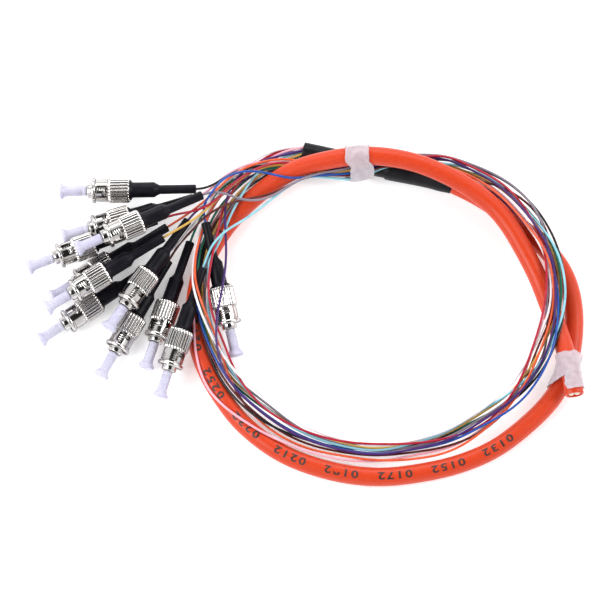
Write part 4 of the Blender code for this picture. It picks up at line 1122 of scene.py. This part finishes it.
climb = np.array(seen(*TRUNK[TRUNK_LOW_END]))
down = np.array(seen(*TRUNK[TRUNK_HIGH_END]))
i0 = int(np.argmin(np.linalg.norm(trunk_route[20:50] - climb, axis=1))) + 20
i1 = int(np.argmin(np.linalg.norm(trunk_route[45:] - down, axis=1))) + 45
trunk_low = [with_radius(samples(part), TRUNK_R)
             for part in (trunk_route[:i0 + 1], trunk_route[i1:])]
trunk_high = [with_radius(samples(trunk_route[i0:i1 + 1]), TRUNK_R)]
sleeve_solid = [with_radius(samples(sleeve_route[1:]), SLEEVE_THICK_R)]
boots = {row[4]: axis for row, axis in zip(CONNECTORS, connector_axes)}
connector_solids = {colour: connector_obstacle(*axis) for colour, axis in boots.items()}
lanes = lane_points()
fibre_paths = []
fibre_held = []
for k, colour in enumerate(LAY_ORDER):
    around = trunk_low + sleeve_solid
    if colour == "violet":
        around = around + list(connector_solids.values())
    first = mouth_point(colour)
    loop = drape(lanes[colour], around, FIBRE_R, fixed_first=first[2])
    loop[3:, 2] += LAY_LIFT * k
    for i, share in ((1, 0.8), (2, 0.4)):
        loop[i, 2] = share * first[2] + (1 - share) * (loop[i, 2] + LAY_LIFT * k)
    start, along = boots[colour]
    tip = start + along * CONN_LENGTH
    out = tip + along * BOOT_LEAD_OUT
    ranks = np.linspace(ORDER[25].split().index(colour), DIVE_ORDER.split().index(colour), 5)
    under = [(u, v + (MIDDLE_RANK - rank) / MIDDLE_RANK * half)
             for (u, v, half), rank in zip(DIVE, ranks[1:])]
    over = trunk_low + sleeve_solid + [s for c, s in connector_solids.items() if c != colour]
    view = [lanes[colour][-1]] + under + LEAD[colour] + [view_of(out)]
    lead = drape(view, over, FIBRE_R, fixed_first=loop[-1][2], fixed_last=out[2])
    if colour in OVER_TRUNK:
        above = drape(view, over + trunk_high, FIBRE_R, fixed_last=out[2])
        past = np.array([u < TAPE_LEFT_U for u, v in view])
        lead[past] = above[past]
    lead[len(DIVE) + 1:-1, 2] += LEAD_LIFT + LAY_LIFT * (11 - k)
    if colour not in OVER_TRUNK:
        for i, (u, v) in enumerate(view):
            if UNDER_TRUNK_U[0] < u < UNDER_TRUNK_U[1]:
                lead[i, 2] = min(lead[i, 2], underside(u))
    lead[-1] = out
    path = np.vstack([loop, lead[1:], [tip, start + along * (CONN_LENGTH - FIBRE_IN_BOOT)]])
    path[0] = first
    fixed = np.zeros(len(path), bool)
    fixed[[0, -3, -2, -1]] = True
    fibre_paths.append(path)
    fibre_held.append(fixed)
lying = trunk_low + trunk_high + sleeve_solid + list(connector_solids.values())
fibre_paths = settle(fibre_paths, fibre_held, lying, SETTLE_ROUNDS, 0.03)
fine_paths = []
fine_held = []
for path in fibre_paths:
    fine = softened(flowing(path, FIBRE_STEP), 4)
    fixed = np.zeros(len(fine), bool)
    fixed[0] = True
    fixed[-int(8.0 / FIBRE_STEP):] = True
    fine[fixed] = flowing(path, FIBRE_STEP)[fixed]
    fine_paths.append(fine)
    fine_held.append(fixed)
fine_paths = settle(fine_paths, fine_held, lying, SMOOTH_ROUNDS, 0.004)
fibre_lines = dict(zip(LAY_ORDER, [flowing(softened(p, 1), DRAWN_STEP) for p in fine_paths]))

for number, row in enumerate(CONNECTORS, 1):
    colour = row[4]
    tint, slot = COLOURS[colour]
    line = fibre_lines[colour] + PART_SHIFT
    jacket = worked_finish("buffer_" + colour, tuple(0.86 * c for c in tint),
                           tuple(min(1.0, 1.1 * c + 0.004) for c in tint), (0.22, 0.36),
                           patch=180.0, grain=1400.0, bump=0.000008,
                           Specular_IOR_Level=0.35)
    curve = bpy.data.curves.new("tight_fibre_" + colour, "CURVE")
    curve.dimensions = "3D"
    curve.bevel_depth = FIBRE_R * MM
    curve.bevel_resolution = 3
    curve.use_fill_caps = True
    route = curve.splines.new("POLY")
    route.points.add(len(line) - 1)
    for point, place in zip(route.points, line * MM):
        point.co = (*place, 1.0)
    route.use_smooth = True
    fibre = show("tight_fibre_" + colour, curve, jacket, "pigtail", ["fibre_" + colour])

# Tapes: thin translucent film wound a few times round the trunk, over the sleeve and the
# fibres at the top, and near the cut end on the right, with torn ends left loose.
TAPE_TOP = (357, 163, 9.5)
TAPE_RIGHT = (567, 371, 7.6)
TAPE_TOP_WIDTH = 9.6
TAPE_RIGHT_WIDTH = 12.6
TAPE_GAP = 0.25
TAPE_WINDOW = 2.0
TAPE_SLACK = 0.15
TAPE_THICK = 0.35
TAPE_AROUND = 200
TAPE_ROWS = 30
TAPE_NEAR = 16
NO_TEAR = 99.0
TOP_SHIFT = 2.0
TEAR_SIDE = 1.6
TEAR_STEP = 0.22
FLAP_SIDE = 2.3
FLAP_CUT = 4.2
FLAP_SLANT = 0.3
FLAP_LEAST = 2.6
END_REACH = 2.6


def outline(points):
    """Convex outline of flat points, anticlockwise."""
    points = sorted(map(tuple, points))
    halves = []
    for run in (points, points[::-1]):
        chain = []
        for p in run:
            while len(chain) > 1 and ((chain[-1][0] - chain[-2][0]) * (p[1] - chain[-2][1])
                                      - (chain[-1][1] - chain[-2][1])
                                      * (p[0] - chain[-2][0])) <= 0:
                chain.pop()
            chain.append(p)
        halves.append(chain[:-1])
    return halves[0] + halves[1]


def tape_spot(where):
    """Middle of a tape and the trunk's level direction there."""
    spot = np.array(seen(*where))
    k = int(np.argmin(np.linalg.norm(trunk_route[30:-1] - spot, axis=1))) + 30
    along = (trunk_route[k + 1] - trunk_route[k - 1]) * (1, 1, 0)
    return spot, along / np.linalg.norm(along)


tape_turns = np.arange(TAPE_AROUND) * 2 * math.pi / TAPE_AROUND
tape_spread = np.column_stack([np.cos(tape_turns), np.sin(tape_turns)])


def tape_loop(strands, centre, along, at):
    """Outline of a tape at a distance along its strands, one point a direction."""
    side, up = across(along)
    flat = []
    for path, radius in strands:
        offset = samples(path, 0.6) - centre
        near = np.abs(offset @ along - at) < TAPE_WINDOW
        near &= np.linalg.norm(offset, axis=1) < TAPE_NEAR
        for p in offset[near]:
            for a in np.arange(24) * math.pi / 12:
                flat.append((p @ side + (radius + TAPE_GAP) * math.cos(a),
                             p @ up + (radius + TAPE_GAP) * math.sin(a)))
    hull = np.array(outline(flat))
    hull = even(np.vstack([hull, hull[:1]]), 721)[:-1]
    middle = hull.mean(axis=0)
    away = hull - middle
    reach = np.interp(tape_turns, np.arctan2(away[:, 1], away[:, 0]),
                      np.linalg.norm(away, axis=1), period=2 * math.pi)
    for _ in range(8):
        reach += 0.3 * ((np.roll(reach, 1) + np.roll(reach, -1)) / 2 - reach)
    return middle + tape_spread * reach[:, None]


def slanted_top(p, share):
    """The top tape's lower half stands further right, behind a torn edge."""
    lower = min(1.0, max(0.0, (p[0] - TEAR_SIDE) / 1.5)) if p[1] > -3 else 0.0
    return TOP_SHIFT * lower


def flapped_right(p, share):
    """The right tape's film is shorter over the trunk than over its cut end."""
    if share < 0:
        return 0.0
    if p[0] < FLAP_SIDE:
        return 0.0 if p[1] < 0 else END_REACH * share ** 3 * 8
    cut = max(FLAP_LEAST, FLAP_CUT - FLAP_SLANT * (p[0] - FLAP_SIDE))
    return -cut * share ** 3 * 8


def tape_wrap(name, spot, width, strands, shift, tear, seed):
    """A wound tape: film on the strands' outline, creased, with wavering edges."""
    centre, along = spot
    side, up = across(along)
    places = np.linspace(-width / 2, width / 2, TAPE_ROWS + 1)
    loops = [tape_loop(strands, centre, along, at) for at in places]
    crease = random.Random(seed)
    waves = [(crease.uniform(1, 3), crease.uniform(4, 11), crease.uniform(0, 6.28),
              crease.uniform(0.02, 0.05)) for _ in range(6)]
    edge = [(crease.randint(3, 17), crease.uniform(0, 6.28), crease.uniform(0.03, 0.12))
            for _ in range(5)]
    rings = []
    marks = []
    for shell, rows in ((TAPE_SLACK, range(TAPE_ROWS + 1)),
                        (TAPE_SLACK + TAPE_THICK, range(TAPE_ROWS, -1, -1))):
        for row in rows:
            share = row / TAPE_ROWS - 0.5
            ring = []
            for k in range(TAPE_AROUND):
                a = tape_turns[k]
                p = loops[row][k]
                x = share * width + shift(p, share)
                x -= abs(2 * share) ** 8 * math.copysign(1, share) * sum(
                    size * (1 + math.sin(count * a + turn)) for count, turn, size in edge)
                rank = min(max((x / width + 0.5) * TAPE_ROWS, 0), TAPE_ROWS - 0.001)
                low = int(rank)
                p = loops[low][k] + (rank - low) * (loops[low + 1][k] - loops[low][k])
                lift = shell - sum(size * (1 + math.sin(lengthwise * x + around * a + turn))
                                   for lengthwise, around, turn, size in waves) / 3
                torn = p[0] > tear + 0.35 * math.sin(1.9 * x) + 0.2 * math.sin(5.3 * x + 1)
                if torn and shell > TAPE_SLACK and p[1] > 0:
                    lift -= TEAR_STEP
                p = p + tape_spread[k] * max(lift, shell - 0.1 - TEAR_STEP)
                ring.append(centre + PART_SHIFT + along * x + p[0] * side + p[1] * up)
            rings.append(ring)
            marks.append(share * width)
    return loft(name, rings, marks, loop=True)


tape_film = worked_finish("tape_film", (0.60, 0.52, 0.57), (0.76, 0.70, 0.75), (0.22, 0.45),
                          patch=420.0, grain=1500.0, bump=0.00004, Alpha=0.52)
show("tape_wrap_top",
     tape_wrap("tape_wrap_top", tape_spot(TAPE_TOP), TAPE_TOP_WIDTH,
               [(p, FIBRE_R) for p in fibre_lines.values()]
               + [(trunk_route, TRUNK_R), (sleeve_route, SLEEVE_R)],
               slanted_top, TEAR_SIDE, 5), tape_film, "pigtail", ["tape_top"])
show("tape_wrap_right",
     tape_wrap("tape_wrap_right", tape_spot(TAPE_RIGHT), TAPE_RIGHT_WIDTH,
               [(trunk_route, TRUNK_R)], flapped_right, NO_TEAR, 11),
     tape_film, "pigtail", ["tape_right"])

# Floor and light: a pale floor lit from below and by soft boxes, in a white room with a
# dark ceiling that shows in the metal.
DARK_CEILING = (0.0, -0.24, 0.97)
floor_mesh = bpy.data.meshes.new("floor")
floor_mesh.from_pydata([(-3, -3, 0), (3, -3, 0), (3, 3, 0), (-3, 3, 0)], [], [(0, 1, 2, 3)])
floor = bpy.data.objects.new("floor", floor_mesh)
bpy.context.scene.collection.objects.link(floor)
floor_mesh.materials.append(worked_finish("floor_paper", (0.88, 0.88, 0.885),
                                          (0.9, 0.9, 0.905), (0.6, 0.7), patch=3.0,
                                          Emission_Color=(1.0, 1.0, 1.0, 1.0),
                                          Emission_Strength=0.35))
for name, place, size, power in (
        ("soft_box_left", (-1.0, -0.35, 1.1), (0.9, 0.9), 17.0),
        ("soft_box_right", (1.15, 0.1, 1.0), (0.5, 1.0), 10.0),
        ("soft_box_back", (0.0, 1.25, 0.9), (1.6, 0.35), 9.0)):
    box = bpy.data.lights.new(name, "AREA")
    box.shape = "RECTANGLE"
    box.size, box.size_y = size
    box.energy = power
    lamp = bpy.data.objects.new(name, box)
    lamp.location = place
    lamp.rotation_euler = (-Vector(place)).to_track_quat("-Z", "Y").to_euler()
    lamp.visible_camera = False
    bpy.context.scene.collection.objects.link(lamp)
room = bpy.data.worlds.new("room")
room.use_nodes = True
bpy.context.scene.world = room
nodes = room.node_tree.nodes
links = room.node_tree.links
where = nodes.new("ShaderNodeTexCoord")
aim = nodes.new("ShaderNodeVectorMath")
aim.operation = "DOT_PRODUCT"
aim.inputs[1].default_value = DARK_CEILING
links.new(where.outputs["Generated"], aim.inputs[0])
shade = nodes.new("ShaderNodeValToRGB")
for reach, tone in ((0.3, 0.95), (0.76, 0.85), (0.86, 0.02), (0.99, 0.02)):
    stop = shade.color_ramp.elements.new(reach)
    stop.color = (tone, tone, tone * 1.01, 1.0)
shade.color_ramp.elements.remove(shade.color_ramp.elements[-1])
shade.color_ramp.elements.remove(shade.color_ramp.elements[0])
links.new(aim.outputs["Value"], shade.inputs["Fac"])
links.new(shade.outputs["Color"], nodes["Background"].inputs["Color"])
nodes["Background"].inputs["Strength"].default_value = 1.0
bpy.context.scene.view_settings.view_transform = "Standard"
